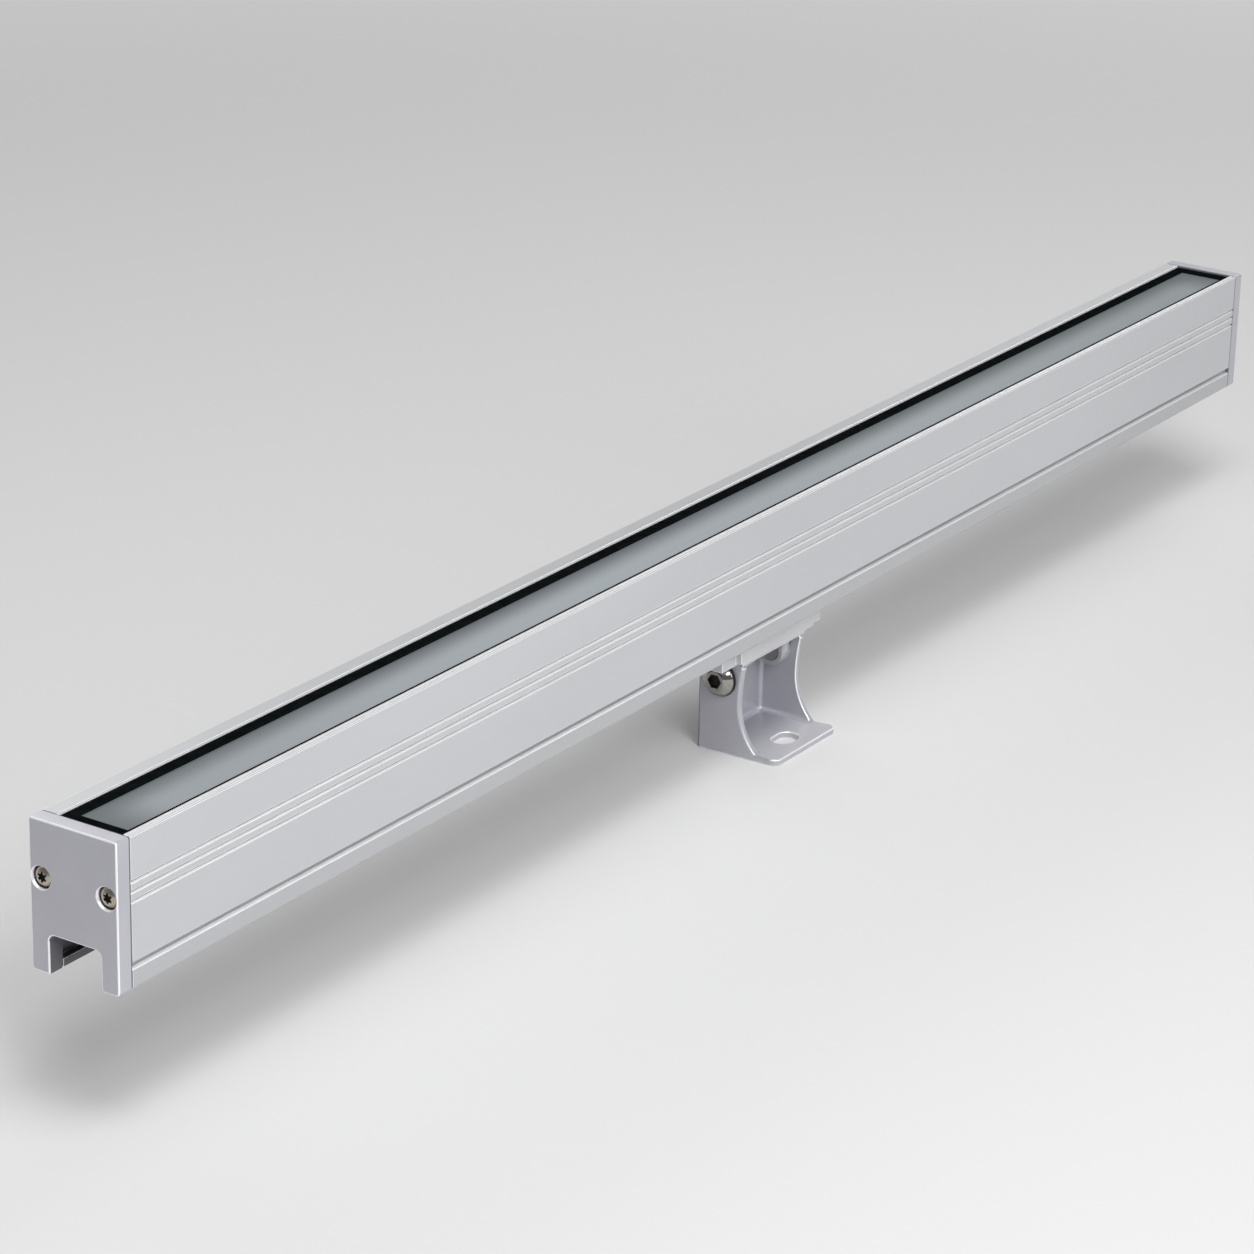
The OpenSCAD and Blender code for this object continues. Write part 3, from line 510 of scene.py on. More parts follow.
def move(piece, place=(0, 0, 0), turn=(0, 0, 0), scale=(1, 1, 1)):
    """Puts a piece in its place, in millimetres and degrees, and keeps the place in its mesh."""
    pick(piece)
    piece.location = [v / 1000 for v in place]
    piece.rotation_euler = [math.radians(v) for v in turn]
    piece.scale = scale
    bpy.ops.object.transform_apply(location=True, rotation=True, scale=True)
    if min(scale) < 0:
        bpy.ops.object.mode_set(mode="EDIT")
        bpy.ops.mesh.select_all(action="SELECT")
        bpy.ops.mesh.normals_make_consistent(inside=False)
        bpy.ops.object.mode_set(mode="OBJECT")


cap_low, cap_high = (v * 1000 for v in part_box("end_cap_left"))
bar_middle = (cap_low.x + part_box("end_cap_right")[1].x * 1000) / 2
TOP_EDGE = 0.7
TOE_EDGE = 1.0
FACE_EDGE = 0.38
SEAM_EDGE = 0.06  # at the gasket
CHANNEL_HALF = 8.1  # half the width of the mouth
CHANNEL_ROOF = cap_low.z + 10.5
CHANNEL_CORNER = 1.9
SCREW_Y = 10.1
SCREW_Z = cap_low.z + 24.8
SEAT_DEPTH = 2.275  # where the screw's head bears
RIM_R = 3.45
RIM_SLOPE = 0.4
LIT_DEPTH = 0.95  # painted highlight on the wall down to here, and painted shade round the head
SHADE_STEP = 0.05  # how much narrower the painted shade part is
SEAT_WIDTH = 1.3
SCREW_WAY = 10
PAINTED_COAT_HIGHLIGHT = 1
PAINTED_SHADE = 2

cast_coat = new_finish("cast_powder_coat", 0.45)
colour(cast_coat, grain(cast_coat, 45), (182, 182, 190), (189, 189, 196))
peel = grain(cast_coat, 1500, detail=1.0)
roughness(cast_coat, peel, 0.34, 0.42)
relief(cast_coat, peel, 0.08, 0.00004)

# Painted highlight: rounded edges of the castings take this near white coat.
painted_highlight_coat = new_finish("cast_coat_painted_highlight", 0.4)
colour(painted_highlight_coat, grain(painted_highlight_coat, 60), (244, 244, 247), (252, 252, 254))
roughness(painted_highlight_coat, grain(painted_highlight_coat, 1500), 0.28, 0.38)

# Painted shade: inner faces of the mouths, the counterbores round the heads and the saddle take this
# dark coat.
painted_shade_coat = new_finish("painted_shade_coat", 0.2)
colour(painted_shade_coat, grain(painted_shade_coat, 60), (92, 92, 98), (102, 102, 108))
roughness(painted_shade_coat, grain(painted_shade_coat, 1500, detail=1.0), 0.55, 0.65)

cap_finishes = (cast_coat, painted_highlight_coat, painted_shade_coat)
cap = add_block("end_cap_left_cast", cap_low, cap_high)
for finish in cap_finishes:
    cap.data.materials.append(finish)
round_edges(cap, TOP_EDGE, lambda a, b: min(a.z, b.z) > cap_high.z - NEAR and along("x", a, b), 4)
round_edges(cap, TOE_EDGE, lambda a, b: max(a.z, b.z) < cap_low.z + NEAR and along("x", a, b), 4)
mouth_low = (cap_low.x - OVERRUN, -CHANNEL_HALF, cap_low.z - OVERRUN)
mouth = add_block("mouth", mouth_low, (cap_high.x + OVERRUN, CHANNEL_HALF, CHANNEL_ROOF))
round_edges(
    mouth, CHANNEL_CORNER, lambda a, b: min(a.z, b.z) > CHANNEL_ROOF - NEAR and along("x", a, b), 6
)
cut(cap, mouth)
whole_skin(cap)
# The rounded edges of the cap's face take the painted highlight coat.
round_edges(cap, FACE_EDGE, lambda a, b: max(a.x, b.x) < cap_low.x + HAIR, painted_highlight_finish=PAINTED_COAT_HIGHLIGHT)
round_edges(cap, SEAM_EDGE, lambda a, b: min(a.x, b.x) > cap_high.x - HAIR, 1)
for side in (-1, 1):
    counterbore = add_rod("counterbore", (0, 0, RIM_SLOPE), "Z", RIM_R, RIM_SLOPE)
    shank(counterbore, RIM_SLOPE, LIT_DEPTH - RIM_SLOPE / 2, RIM_SLOPE)
    shank(counterbore, SHADE_STEP, SEAT_DEPTH - LIT_DEPTH - SHADE_STEP, SHADE_STEP)
    shank(counterbore, SEAT_WIDTH, SCREW_WAY)
    lay_finishes(counterbore, cap_finishes, lambda spot, _: PAINTED_COAT_HIGHLIGHT if spot.z > -LIT_DEPTH - HAIR else PAINTED_SHADE)
    move(counterbore, (cap_low.x, side * SCREW_Y, SCREW_Z), (0, -90, 0))
    cut(cap, counterbore)
# The mouth's inner faces take the painted shade coat.
for face in cap.data.polygons:
    spot = face.center * 1000
    in_mouth = abs(spot.y) < CHANNEL_HALF + HAIR and spot.z < CHANNEL_ROOF + HAIR
    if in_mouth and abs(face.normal.x) < 0.3:
        face.material_index = PAINTED_SHADE
far_cap = twin(cap, "end_cap_right_cast")
move(far_cap, place=(2 * bar_middle, 0, 0), scale=(-1, 1, 1))
for piece, node in ((cap, "end_cap_left"), (far_cap, "end_cap_right")):
    smooth(piece)
    fit(piece, "bar", "cast_grey", cast_coat, node)


# Gaskets: thin grey rubber between each cap and the sawn end, seen as a line at the seam.
# The CAD nodes have the right shape, so they stay.
def coat_node(node, finish):
    """Gives a CAD node its finish."""
    nodes[node].data.materials.clear()
    nodes[node].data.materials.append(finish)


gasket_rubber = new_finish("gasket_rubber", specular=0.15)
colour(gasket_rubber, grain(gasket_rubber, 500), (92, 94, 96), (108, 110, 112))
roughness(gasket_rubber, grain(gasket_rubber, 900), 0.55, 0.68)
coat_node("end_gasket_left", gasket_rubber)
coat_node("end_gasket_right", gasket_rubber)


# End cap screws: stainless pan heads with a six-lobe recess, two to a cap, sunk in counterbores.
# One is turned from a rod, its crown raised ring by ring, and copied to its four places.
def crown(piece, radius, ball, stop, steps):
    """Domes the top face of an upright rod with rings that lie on a ball, down to a flat."""
    pick_face(piece, highest=True)
    for step in range(steps):
        here, there = (radius + (stop - radius) * (step + k) / steps for k in (0, 1))
        rise = math.sqrt(ball**2 - there**2) - math.sqrt(ball**2 - here**2)
        bpy.ops.mesh.inset(thickness=(here - there) / 1000, depth=rise / 1000)
    bpy.ops.object.mode_set(mode="OBJECT")


def pick_spots(piece, chosen):
    """Selects the vertices that a test picks, and stays in edit mode."""
    pick(piece)
    bpy.ops.object.mode_set(mode="EDIT")
    bpy.ops.mesh.select_mode(type="VERT")
    bpy.ops.mesh.select_all(action="DESELECT")
    bpy.ops.object.mode_set(mode="OBJECT")
    for vertex in piece.data.vertices:
        vertex.select = chosen(vertex.co * 1000)
    bpy.ops.object.mode_set(mode="EDIT")


def from_hollow(v):
    """How many degrees a vertex stands from the nearest hollow between two lobes."""
    return abs(math.degrees(math.atan2(v.y, v.x)) % 60 - 30)


def fit_like(pieces, body, slot, finish, node):
    """Fits like pieces, the first of which stands for the CAD node that holds them all."""
    for count, piece in enumerate(pieces):
        fit(piece, body, slot, finish, *([] if count else [node]))


HEAD_R = 2.75
HEAD_H = 2.1
HEAD_BALL = (HEAD_R**2 + HEAD_H**2 / 4) / HEAD_H
HEAD_FLAT = 1.2  # the crown's flat middle
HEAD_EDGE = 0.12
SCREW_R = 1.5
SCREW_LENGTH = 10
LOBE_R = 1.42
LOBE_DEPTH = 1.15
LOBE_FLOOR = HEAD_H - LOBE_DEPTH - 0.05
LOBE_MOUTH = HEAD_H - 0.38
HOLLOWS = ((0, 9, 0.64), (9, 17, 0.8))  # from and to in degrees, and the share of LOBE_R
warm_steel = new_finish("warm_stainless", 1.0)
turned = grain(warm_steel, 1200, detail=2.0)
colour(warm_steel, turned, (176, 166, 152), (196, 188, 175))
roughness(warm_steel, turned, 0.24, 0.36)
# Painted shade: the insides of recesses and sockets are coloured nearly black.
recess = new_finish("painted_shade_recess", 0.4)
colour(recess, grain(recess, 900), (22, 20, 18), (40, 37, 34))


def in_lobes(spot, _):
    """The second finish, painted shade, in the recess; the first elsewhere."""
    return int(math.hypot(spot.x, spot.y) < LOBE_R + HAIR and LOBE_FLOOR < spot.z < LOBE_MOUTH)


screw = add_rod("cap_screw", (0, 0, HEAD_H / 4), "Z", HEAD_R, HEAD_H / 2, 48)
shank(screw, HEAD_R - SCREW_R, SCREW_LENGTH)
crown(screw, HEAD_R, HEAD_BALL, HEAD_FLAT, 6)
lobes = add_rod("lobes", (0, 0, HEAD_H + OVERRUN), "Z", LOBE_R, 2 * (OVERRUN + LOBE_DEPTH), 48)
for nearest, furthest, share in HOLLOWS:
    pick_spots(lobes, lambda v: nearest <= from_hollow(v) < furthest)
    bpy.ops.transform.resize(value=(share, share, 1), center_override=(0, 0, 0))
    bpy.ops.object.mode_set(mode="OBJECT")
cut(screw, lobes)
whole_skin(screw)
round_edges(screw, HEAD_EDGE, lambda a, b: max(a.z, b.z) > -NEAR, 2, 25)
lay_finishes(screw, (warm_steel, recess), in_lobes)
smooth(screw, 40)
cap_screws = []
for end, end_name in ((-1, "left"), (1, "right")):
    for side, side_name in ((1, "back"), (-1, "front")):
        piece = twin(screw, f"cap_screw_{end_name}_{side_name}")
        seat_x = bar_middle + end * (bar_middle - cap_low.x - SEAT_DEPTH)
        move(piece, (seat_x, side * SCREW_Y, SCREW_Z), (0, end * 90, 0))
        cap_screws.append(piece)
fit_like(cap_screws, "bar", "bare_steel", warm_steel, "end_cap_screws")
bpy.data.objects.remove(screw)

# Slider block: a casting that stands in the channel on its wings, with pads that bear under the
# lips, a saddle over the foot's round cheeks, and two lugs that take the pivot screws.
PIVOT_Z = 23.4
block_low, block_high = (v * 1000 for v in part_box("slider_block"))
WING_HALF = 10.15
WING_UNDER = 39.55
NECK_HALF = 7.95
NECK_TOP = 41
PAD_HALF = 9.1
PAD_X = 20.25
PAD_UNDER = 30.7
PAD_TOP = bar_low.z - 0.15  # the pads bear just under the bar's lips
TAIL_HALF = 7.1
TAIL_UNDER = 29.85
TAIL_TOP = 38
SKIRT_X = 17.3  # the skirts end just past the cheeks
SKIRT_UNDER = 28.9
SKIRT_TOP = 32
SADDLE_R = 9.3
LUG_X = 12.4
LUG_R = 4.4
LUG_T = 4
LUG_ROOT = 33
LOCK_X = 23.7
LOCK_HOLE_R = 2.05
LOCK_DRILL = 30
LOCK_DRILL_Z = 36
PIVOT_HOLE_R = 3.05
PIVOT_DRILL = 34
LUG_EDGE = 0.2
BLOCK_EDGE = 0.22

block_coat = new_finish("block_coat", 0.45)
colour(block_coat, grain(block_coat, 45), (203, 203, 206), (210, 210, 213))
roughness(block_coat, grain(block_coat, 1500, detail=1.0), 0.36, 0.44)

slider_low = (block_low.x, -NECK_HALF, PAD_TOP - HAIR)
slider = add_block("slider_block_cast", slider_low, (block_high.x, NECK_HALF, NECK_TOP))
for name, low, high in (
    ("wings", (block_low.x, -WING_HALF, WING_UNDER), (block_high.x, WING_HALF, block_high.z)),
    ("tails", (block_low.x, -TAIL_HALF, TAIL_UNDER), (block_high.x, TAIL_HALF, TAIL_TOP)),
    ("pads", (-PAD_X, -PAD_HALF, PAD_UNDER), (PAD_X, PAD_HALF, PAD_TOP)),
    ("skirts", (-SKIRT_X, -NECK_HALF, SKIRT_UNDER), (SKIRT_X, NECK_HALF, SKIRT_TOP)),
):
    cut(slider, add_block(name, low, high), "UNION")
cut(slider, add_rod("saddle", (0, 0, PIVOT_Z), "X", SADDLE_R, 2 * SKIRT_X, 128))
for side in (-1, 1):
    lug = add_rod("lug", (side * LUG_X, 0, PIVOT_Z), "X", LUG_R, LUG_T, 64)
    root_low = (side * LUG_X - LUG_T / 2, -LUG_R, PIVOT_Z)
    cut(lug, add_block("root", root_low, (side * LUG_X + LUG_T / 2, LUG_R, LUG_ROOT)), "UNION")
    cut(slider, lug, "UNION")
    lock_middle = (side * LOCK_X, 0, LOCK_DRILL_Z)
    cut(slider, add_rod("lock_hole", lock_middle, "Z", LOCK_HOLE_R, LOCK_DRILL, 48))
cut(slider, add_rod("pivot_hole", (0, 0, PIVOT_Z), "X", PIVOT_HOLE_R, PIVOT_DRILL))
whole_skin(slider)
slider_finishes = (block_coat, painted_highlight_coat, painted_shade_coat, cast_coat)
for finish in slider_finishes:
    slider.data.materials.append(finish)
round_edges(slider, LUG_EDGE, lambda a, b: max(a.z, b.z) < SKIRT_UNDER - NEAR, segments=2)
# The block's upper rounded edges take the painted highlight coat.
round_edges(slider, BLOCK_EDGE, lambda a, b: min(a.z, b.z) > SKIRT_UNDER - 0.5, segments=2, painted_highlight_finish=PAINTED_COAT_HIGHLIGHT)
# Painted shade under the skirts: the lugs take the darker cast coat, and the saddle the painted shade
# coat.
for face in slider.data.polygons:
    spot = face.center * 1000
    if spot.z < SKIRT_UNDER - NEAR:
        face.material_index = slider_finishes.index(cast_coat)
    elif abs(spot.x) < SKIRT_X - 0.3 and math.hypot(spot.y, spot.z - PIVOT_Z) < SADDLE_R + NEAR:
        face.material_index = PAINTED_SHADE
smooth(slider)
fit(slider, "carrier", "cast_grey", block_coat, "slider_block")


# Foot: one casting, in the same coat as the caps. A plain base with a slot, a back wall, and two
# cheeks whose front edges are hollowed in two curves and rounded over.
def slice_off(piece, height, up):
    """Cuts a piece level at a height, and takes away what is above or below."""
    pick(piece)
    bpy.ops.object.mode_set(mode="EDIT")
    bpy.ops.mesh.select_all(action="SELECT")
    bpy.ops.mesh.bisect(
        plane_co=(0, 0, height / 1000), plane_no=(0, 0, up), use_fill=True, clear_outer=True
    )
    bpy.ops.object.mode_set(mode="OBJECT")


BLANK_TOP = 34  # the foot's block before its side view is cut
TOOL_TOP = 40
HOLLOW_LENGTH = 40
SLOT_DRILL = 8
THROUGH = 60
BACK = 7.4
FRONT = -20.4
HALF_W = 17
WALL = 2
BASE_T = 2
FRONT_CORNER = 2.4
BACK_CORNER = 0.8
CHEEK_TOP_R = 9
WAIST_Y = -6.6
WAIST_Z = PIVOT_Z - 6.8  # the two hollows of a cheek meet at the waist
UPPER_R = 54
LOWER_R = 20.3
TOE_Y = WAIST_Y - LOWER_R + math.sqrt(LOWER_R**2 - (WAIST_Z - BASE_T) ** 2)
TOE_GAP = 0.004
INNER_CORNER = 1.6
BACK_WALL_TOP = 18.7  # the wall is open above this, so the block can turn
SLOT_Y = -12.8
SLOT_R = 3.3
SLOT_REACH = 1.6  # from the slot's middle to each end's centre
PIVOT_WAY_R = 3.08
CHEEK_EDGE = 0.8
FOOT_EDGE = 0.3
PAINTED_LIGHT_BASE = 2


def on_front_corner(a, b):
    """The upright corners at the front of the base."""
    return max(a.y, b.y) < FRONT + NEAR and along("z", a, b)


def on_back_corner(a, b):
    """The upright corners at the back of the cheeks."""
    return min(a.y, b.y) > BACK - NEAR and along("z", a, b)


def in_cavity_corner(a, b):
    """Where the base meets the cheeks, and where the back wall meets the base and the cheeks."""
    low = max(a.z, b.z) < BASE_T + NEAR
    back = min(a.y, b.y) > BACK - WALL - NEAR
    along_cheek = min(a.y, b.y) < BACK - 3 and along("y", a, b)
    return low and (along_cheek or back) or back and along("z", a, b)


def near_pivot(v):
    """Whether a vertex is on the rim of a pivot screw's hole."""
    return math.hypot(v.y, v.z - PIVOT_Z) < PIVOT_WAY_R + 0.92


def on_cheek_face(a, b):
    """The edges of the cheeks' outer faces, but for those on the ground and round the screws."""
    return min(abs(a.x), abs(b.x)) > HALF_W - HAIR and max(a.z, b.z) > NEAR and not near_pivot(a)


def at_toe(v):
    """Where a cheek's hollow edge runs out on the base."""
    return v.z < BASE_T + 0.5 and abs(v.y - TOE_Y) < 0.6 and abs(v.x) > HALF_W - 4


# Painted light and shade: the base's top is lighter towards the front and right, and darker towards the
# back under the bar.
base_painted_light_coat = new_finish("base_painted_light_coat", 0.45)
towards_front = fade(base_painted_light_coat, "Y", 3, -17)
towards_right = fade(base_painted_light_coat, "X", -30, 10, 0.8)
painted_light_on_base = multiply(base_painted_light_coat, towards_front, towards_right)
colour(base_painted_light_coat, painted_light_on_base, (164, 164, 172), (218, 218, 223), 0, 1)
roughness(base_painted_light_coat, grain(base_painted_light_coat, 1500, detail=1.0), 0.34, 0.42)

foot = add_block("foot_bracket_cast", (-HALF_W, FRONT, 0), (HALF_W, BACK, BLANK_TOP))
round_edges(foot, FRONT_CORNER, on_front_corner, 8)
round_edges(foot, BACK_CORNER, on_back_corner, 6)
side_low = (-HALF_W - OVERRUN, FRONT - OVERRUN, -OVERRUN)
side_view = add_block("side_view", side_low, (HALF_W + OVERRUN, BACK + OVERRUN, PIVOT_Z))
cheek_top = add_rod("cheek_top", (0, 0, PIVOT_Z), "X", CHEEK_TOP_R, 2 * (HALF_W + OVERRUN), 128)
cut(side_view, cheek_top, "UNION")
upper = add_rod("upper_hollow", (0, WAIST_Y - UPPER_R, WAIST_Z), "X", UPPER_R, HOLLOW_LENGTH, 256)
slice_off(upper, WAIST_Z, -1)
cut(side_view, upper)
lower = add_rod("lower_hollow", (0, WAIST_Y - LOWER_R, WAIST_Z), "X", LOWER_R, HOLLOW_LENGTH, 160)
slice_off(lower, WAIST_Z, 1)
slice_off(lower, BASE_T + TOE_GAP, -1)  # so that this cut and the cavity's floor share no plane
cut(side_view, lower)
cut(foot, side_view, "INTERSECT")
inside = HALF_W - WALL
cavity_low = (-inside, FRONT - 8, BASE_T)
cavity = add_block("cavity", cavity_low, (inside, BACK - WALL, TOOL_TOP))
round_edges(cavity, INNER_CORNER, in_cavity_corner, 6)
cut(foot, cavity)
opening_low = (-inside, BACK - WALL - INNER_CORNER, BACK_WALL_TOP)
cut(foot, add_block("back_opening", opening_low, (inside, BACK + OVERRUN, TOOL_TOP)))
slot = add_rod("slot", (0, SLOT_Y, 0), "Z", SLOT_R, SLOT_DRILL, 64)
for side in (-1, 1):
    pick_spots(slot, lambda v: side * v.x > HAIR)
    bpy.ops.transform.translate(value=(side * SLOT_REACH / 1000, 0, 0))
    bpy.ops.object.mode_set(mode="OBJECT")
cut(foot, slot)
cut(foot, add_rod("pivot_way", (0, 0, PIVOT_Z), "X", PIVOT_WAY_R, THROUGH))
whole_skin(foot)
for finish in (cast_coat, painted_highlight_coat, base_painted_light_coat):
    foot.data.materials.append(finish)
round_edges(foot, CHEEK_EDGE, on_cheek_face, 4)
# The foot's rounded edges take the painted highlight coat.
round_edges(foot, FOOT_EDGE, lambda a, b: not near_pivot(a) and not (at_toe(a) and at_toe(b)), painted_highlight_finish=PAINTED_COAT_HIGHLIGHT)
# The base's top takes the painted light and shade coat.
for face in foot.data.polygons:
    if face.normal.z > 0.99 and abs(face.center.z * 1000 - BASE_T) < HAIR:
        face.material_index = PAINTED_LIGHT_BASE
smooth(foot)
fit(foot, "foot", "cast_grey", cast_coat, "foot_bracket")

# Pivot screws: M6 button heads of polished stainless steel with a hexagon socket.
# One goes through each cheek into the block's lug, and clamps the tilt.
BUTTON_R = 5.25
BUTTON_H = 3.3
BUTTON_LIP = 0.6
BUTTON_BALL = (BUTTON_R**2 + (BUTTON_H - BUTTON_LIP) ** 2) / (2 * (BUTTON_H - BUTTON_LIP))
BUTTON_FLAT = 2.75
BUTTON_EDGE = 0.15
BUTTON_SEAT = 17.7
M6_R = 3
M6_LENGTH = 7.3
SOCKET_FLOOR = 1.3
SOCKET_MOUTH = 2.5
SOCKET_R = 4 / 2 / math.cos(math.radians(30))
polished = new_finish("polished_stainless", 1.0)
colour(polished, grain(polished, 900, detail=2.0), (158, 155, 150), (174, 171, 166))
roughness(polished, grain(polished, 300), 0.08, 0.16)


def in_socket(spot, _):
    """The second finish, painted shade, in the socket; the first elsewhere."""
    within = math.hypot(spot.x, spot.y) < SOCKET_R + HAIR
    return int(within and SOCKET_FLOOR - NEAR < spot.z < SOCKET_MOUTH)


button = add_rod("pivot_screw", (0, 0, BUTTON_LIP / 2), "Z", BUTTON_R, BUTTON_LIP, 96)
shank(button, BUTTON_R - M6_R, M6_LENGTH)
crown(button, BUTTON_R, BUTTON_BALL, BUTTON_FLAT, 9)
cut(button, add_rod("socket", (0, 0, SOCKET_FLOOR + 2), "Z", SOCKET_R, 4, 6))
whole_skin(button)
round_edges(button, BUTTON_EDGE, lambda a, b: max(a.z, b.z) > -NEAR, 2)
lay_finishes(button, (polished, recess), in_socket)
smooth(button, 40)
pivot_screws = []
for name, end in (("pivot_screw_left", -1), ("pivot_screw_right", 1)):
    piece = twin(button, name)
    move(piece, (end * BUTTON_SEAT, 0, PIVOT_Z), (0, end * 90, 0))
    pivot_screws.append(piece)
fit_like(pivot_screws, "carrier", "polished_steel", polished, "pivot_screws")
bpy.data.objects.remove(button)

# Washers: black nylon under each button head, and natural nylon between each cheek and its lug,
# where it gives the tilt its friction.
HEAD_WASHER_T = 0.6
HEAD_WASHER_R = 5.5
FRICTION_WASHER_T = 0.5
black_nylon = new_finish("black_nylon")
colour(black_nylon, grain(black_nylon, 700), (14, 14, 16), (24, 24, 27))
roughness(black_nylon, grain(black_nylon, 1500), 0.4, 0.55)
white_nylon = new_finish("white_nylon")
colour(white_nylon, grain(white_nylon, 500), (172, 171, 165), (186, 185, 179))
roughness(white_nylon, grain(white_nylon, 1500), 0.45, 0.6)


def washer_pair(name, x, thickness, radius, slot, finish):
    """Two flat rings on the pivot axis, one at each cheek."""
    rings = []
    for end, end_name in ((-1, "left"), (1, "right")):
        ring = add_rod(f"{name}_{end_name}", (end * x, 0, PIVOT_Z), "X", radius, thickness, 96)
        cut(ring, add_rod("hole", (end * x, 0, PIVOT_Z), "X", PIVOT_HOLE_R, 4, 64))
        whole_skin(ring)
        round_edges(ring, thickness / 5, segments=2)
        smooth(ring)
        rings.append(ring)
    fit_like(rings, "carrier", slot, finish, name + "s")


head_x = BUTTON_SEAT - HEAD_WASHER_T / 2
washer_pair("head_washer", head_x, HEAD_WASHER_T, HEAD_WASHER_R, "black_nylon", black_nylon)
friction_x = LUG_X + LUG_T / 2 + FRICTION_WASHER_T / 2
washer_pair("friction_washer", friction_x, FRICTION_WASHER_T, LUG_R, "white_nylon", white_nylon)

# Lock screws: plain steel grub screws with a hexagon socket in the lower end.
# They stand in the block's ends and press on the channel's roof.
grub_low, grub_high = (v * 1000 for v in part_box("lock_screws"))
GRUB_R = 2
GRUB_EDGE = 0.3
GRUB_SOCKET_R = 1.155
GRUB_SOCKET_DEPTH = 2  # in the lower end
bare_steel = new_finish("bare_steel", 1.0)
colour(bare_steel, grain(bare_steel, 900, (1, 1, 0.2)), (150, 148, 144), (172, 170, 166))
roughness(bare_steel, grain(bare_steel, 600), 0.28, 0.42)


def in_grub_socket(spot, _):
    """The second finish, painted shade, in the socket; the first elsewhere."""
    within = math.hypot(spot.x, spot.y) < GRUB_SOCKET_R + HAIR
    return int(within and GRUB_EDGE + NEAR < spot.z - grub_low.z < GRUB_SOCKET_DEPTH + 0.6)


grub_middle = (0, 0, (grub_low.z + grub_high.z) / 2)
grub = add_rod("lock_screw", grub_middle, "Z", GRUB_R, grub_high.z - grub_low.z, 48)
cut(grub, add_rod("socket", (0, 0, grub_low.z), "Z", GRUB_SOCKET_R, 2 * GRUB_SOCKET_DEPTH, 6))
whole_skin(grub)
round_edges(grub, GRUB_EDGE, lambda a, b: math.hypot(a.x, a.y) > GRUB_R - NEAR, 1)
lay_finishes(grub, (bare_steel, recess), in_grub_socket)
smooth(grub, 40)
lock_screws = []
for name, end in (("lock_screw_left", -1), ("lock_screw_right", 1)):
    piece = twin(grub, name)
    move(piece, (end * LOCK_X, 0, 0))
    lock_screws.append(piece)
fit_like(lock_screws, "carrier", "bare_steel", bare_steel, "lock_screws")
bpy.data.objects.remove(grub)

# Cable gland: nickel plated brass, nose down in the channel's roof near the right end.
# Its hexagon has chamfered corners, and the round nose has flutes for the fingers.
gland_low, gland_high = (v * 1000 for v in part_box("cable_gland"))
GLAND_X = (gland_low.x + gland_high.x) / 2
NOSE_R = 5
NOSE_H = 4
NOSE_ROUND = 1.4
HEX_TOP = gland_low.z + 6
HEX_T = 3
HEX_R = 12 / 2 / math.cos(math.radians(30))
HEX_CHAMFER = 0.6
FLUTES = 12
FLUTE_R = 0.8
FLUTE_RING_R = 5.45
THREAD_R = 4
GLAND_BORE_R = 3.1
GLAND_EDGE = 0.12
nickel = new_finish("nickel_plate", 1.0)
colour(nickel, grain(nickel, 500), (186, 183, 174), (200, 197, 188))
roughness(nickel, grain(nickel, 800), 0.2, 0.32)

gland = add_rod("cable_gland_body", (0, 0, HEX_TOP - HEX_T / 2), "Z", HEX_R, HEX_T, 6)
corners = add_rod("corners", (0, 0, HEX_TOP - HEX_T / 2), "Z", HEX_R + 0.02, HEX_T, 64)
round_edges(corners, HEX_CHAMFER, segments=1)
cut(gland, corners, "INTERSECT")
nose = add_rod("nose", (0, 0, gland_low.z + NOSE_H / 2), "Z", NOSE_R, NOSE_H, 64)
round_edges(nose, NOSE_ROUND, lambda a, b: max(a.z, b.z) < gland_low.z + NEAR, 5)
for step in range(FLUTES):
    angle = 2 * math.pi * (step + 0.5) / FLUTES
    flute_middle = (FLUTE_RING_R * math.cos(angle), FLUTE_RING_R * math.sin(angle), gland_low.z + 1)
    cut(nose, add_rod("flute", flute_middle, "Z", FLUTE_R, 6, 16))
cut(gland, nose, "UNION")
thread_length = gland_high.z - HEX_TOP + OVERRUN
thread = add_rod("thread", (0, 0, gland_high.z - thread_length / 2), "Z", THREAD_R, thread_length)
cut(gland, thread, "UNION")
cut(gland, add_rod("bore", (0, 0, gland_low.z), "Z", GLAND_BORE_R, THROUGH))
whole_skin(gland)
round_edges(gland, GLAND_EDGE, segments=2)
smooth(gland)
move(gland, (GLAND_X, 0, 0))
fit(gland, "bar", "nickel_brass", nickel, "cable_gland")

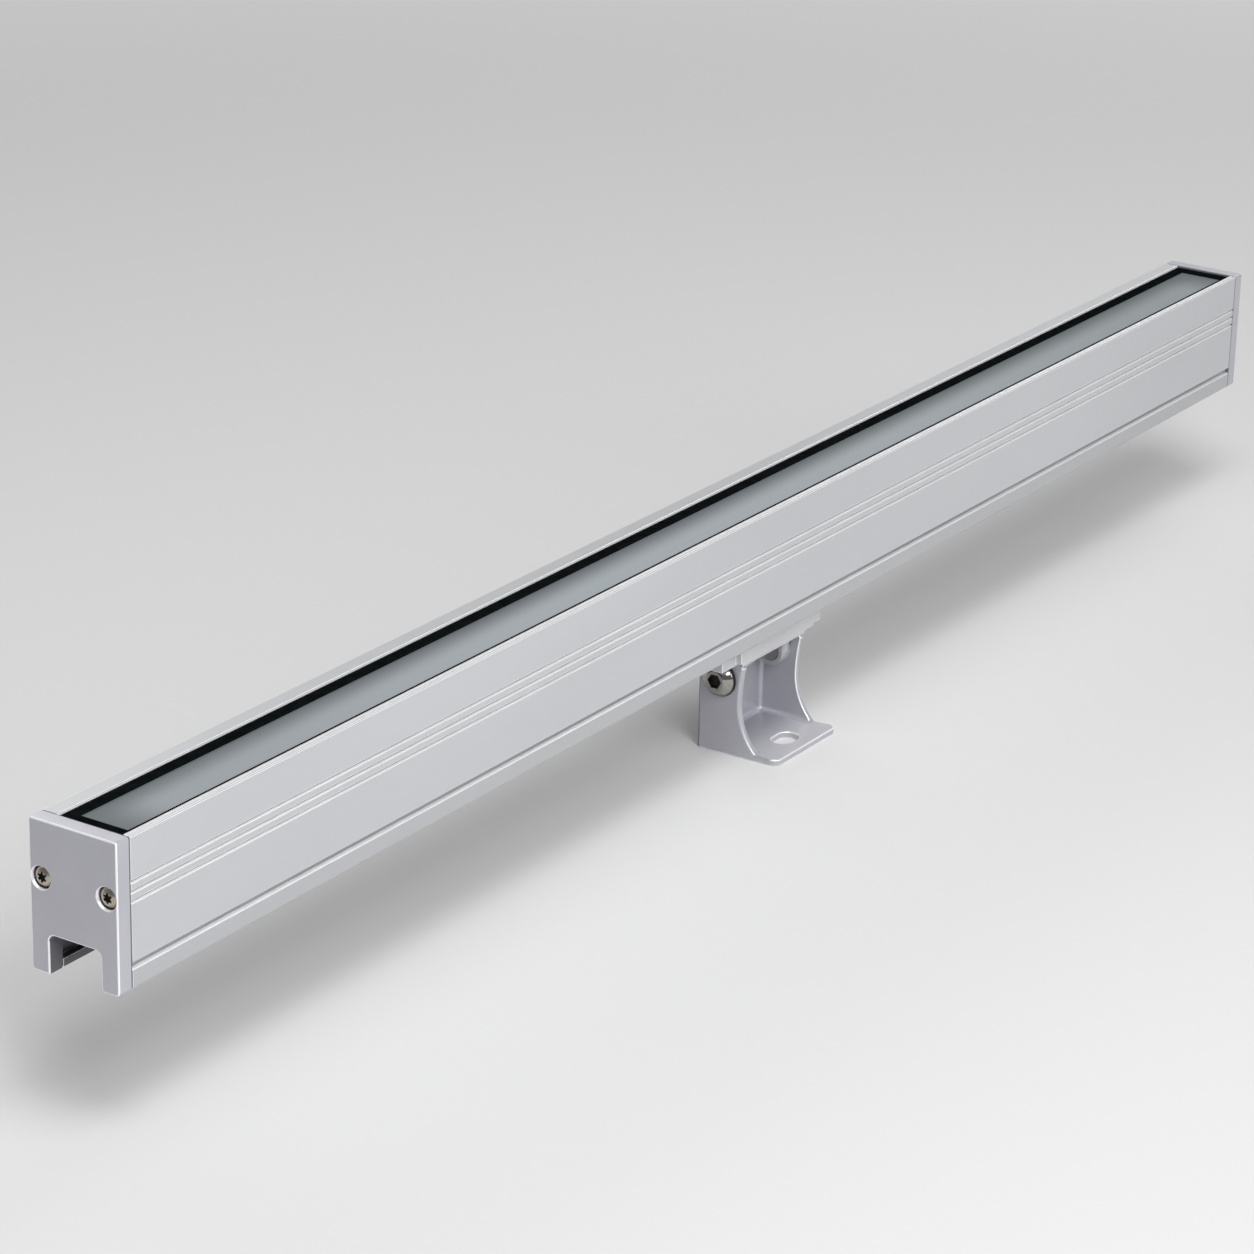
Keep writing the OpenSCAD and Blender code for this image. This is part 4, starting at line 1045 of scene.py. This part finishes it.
# Pieces in the gland that the CAD shapes well: the rubber ring under the hexagon, the rubber
# sleeve that grips the cable, and the plated nut inside the bar.
coat_node("gland_ring", rubber)
coat_node("gland_sleeve", rubber)
coat_node("gland_nut", nickel)

# Light source: a white coated aluminium board with yellow lamps under one clear moulded lens.
# It lies on the web inside the bar, held by small steel screws.
board_coat = new_finish("white_board_coat")
colour(board_coat, grain(board_coat, 350, (0.2, 1, 1)), (236, 236, 232), (244, 244, 241))
roughness(board_coat, grain(board_coat, 900), 0.35, 0.5)
coat_node("led_board", board_coat)
phosphor = new_finish("lamp_phosphor")
colour(phosphor, grain(phosphor, 1500), (236, 205, 70), (246, 220, 110))
roughness(phosphor, grain(phosphor, 600), 0.22, 0.36)
coat_node("led_lamps", phosphor)
acrylic = new_finish("clear_acrylic")
acrylic_shader = acrylic.node_tree.nodes["Principled BSDF"]
acrylic_shader.inputs["Transmission Weight"].default_value = 0.85
acrylic_shader.inputs["IOR"].default_value = 1.49
colour(acrylic, grain(acrylic, 120), (238, 242, 244), (246, 249, 250))
roughness(acrylic, grain(acrylic, 700), 0.08, 0.16)
coat_node("lens_strip", acrylic)
coat_node("board_screws", bare_steel)

# Driver: a green fibre board with its cans, choke, chips and terminal block, and two red leads
# up to the lamp board. It stands on two ribs inside the bar.
green_mask = new_finish("green_solder_mask")
tracks = grain(green_mask, 260, (1, 1, 0.1), 1.0)
colour(green_mask, tracks, (24, 92, 56), (46, 122, 78), 0.46, 0.54)
roughness(green_mask, tracks, 0.3, 0.42, 0.46, 0.54)
coat_node("driver_board", green_mask)
dark_case = new_finish("dark_parts_case")
colour(dark_case, grain(dark_case, 300), (38, 38, 41), (58, 58, 62))
roughness(dark_case, grain(dark_case, 1200), 0.35, 0.55)
coat_node("driver_parts", dark_case)
lead_skin = new_finish("red_lead_skin")
colour(lead_skin, grain(lead_skin, 800), (176, 28, 24), (196, 44, 38))
roughness(lead_skin, grain(lead_skin, 1500), 0.45, 0.6)
coat_node("lead_wires", lead_skin)
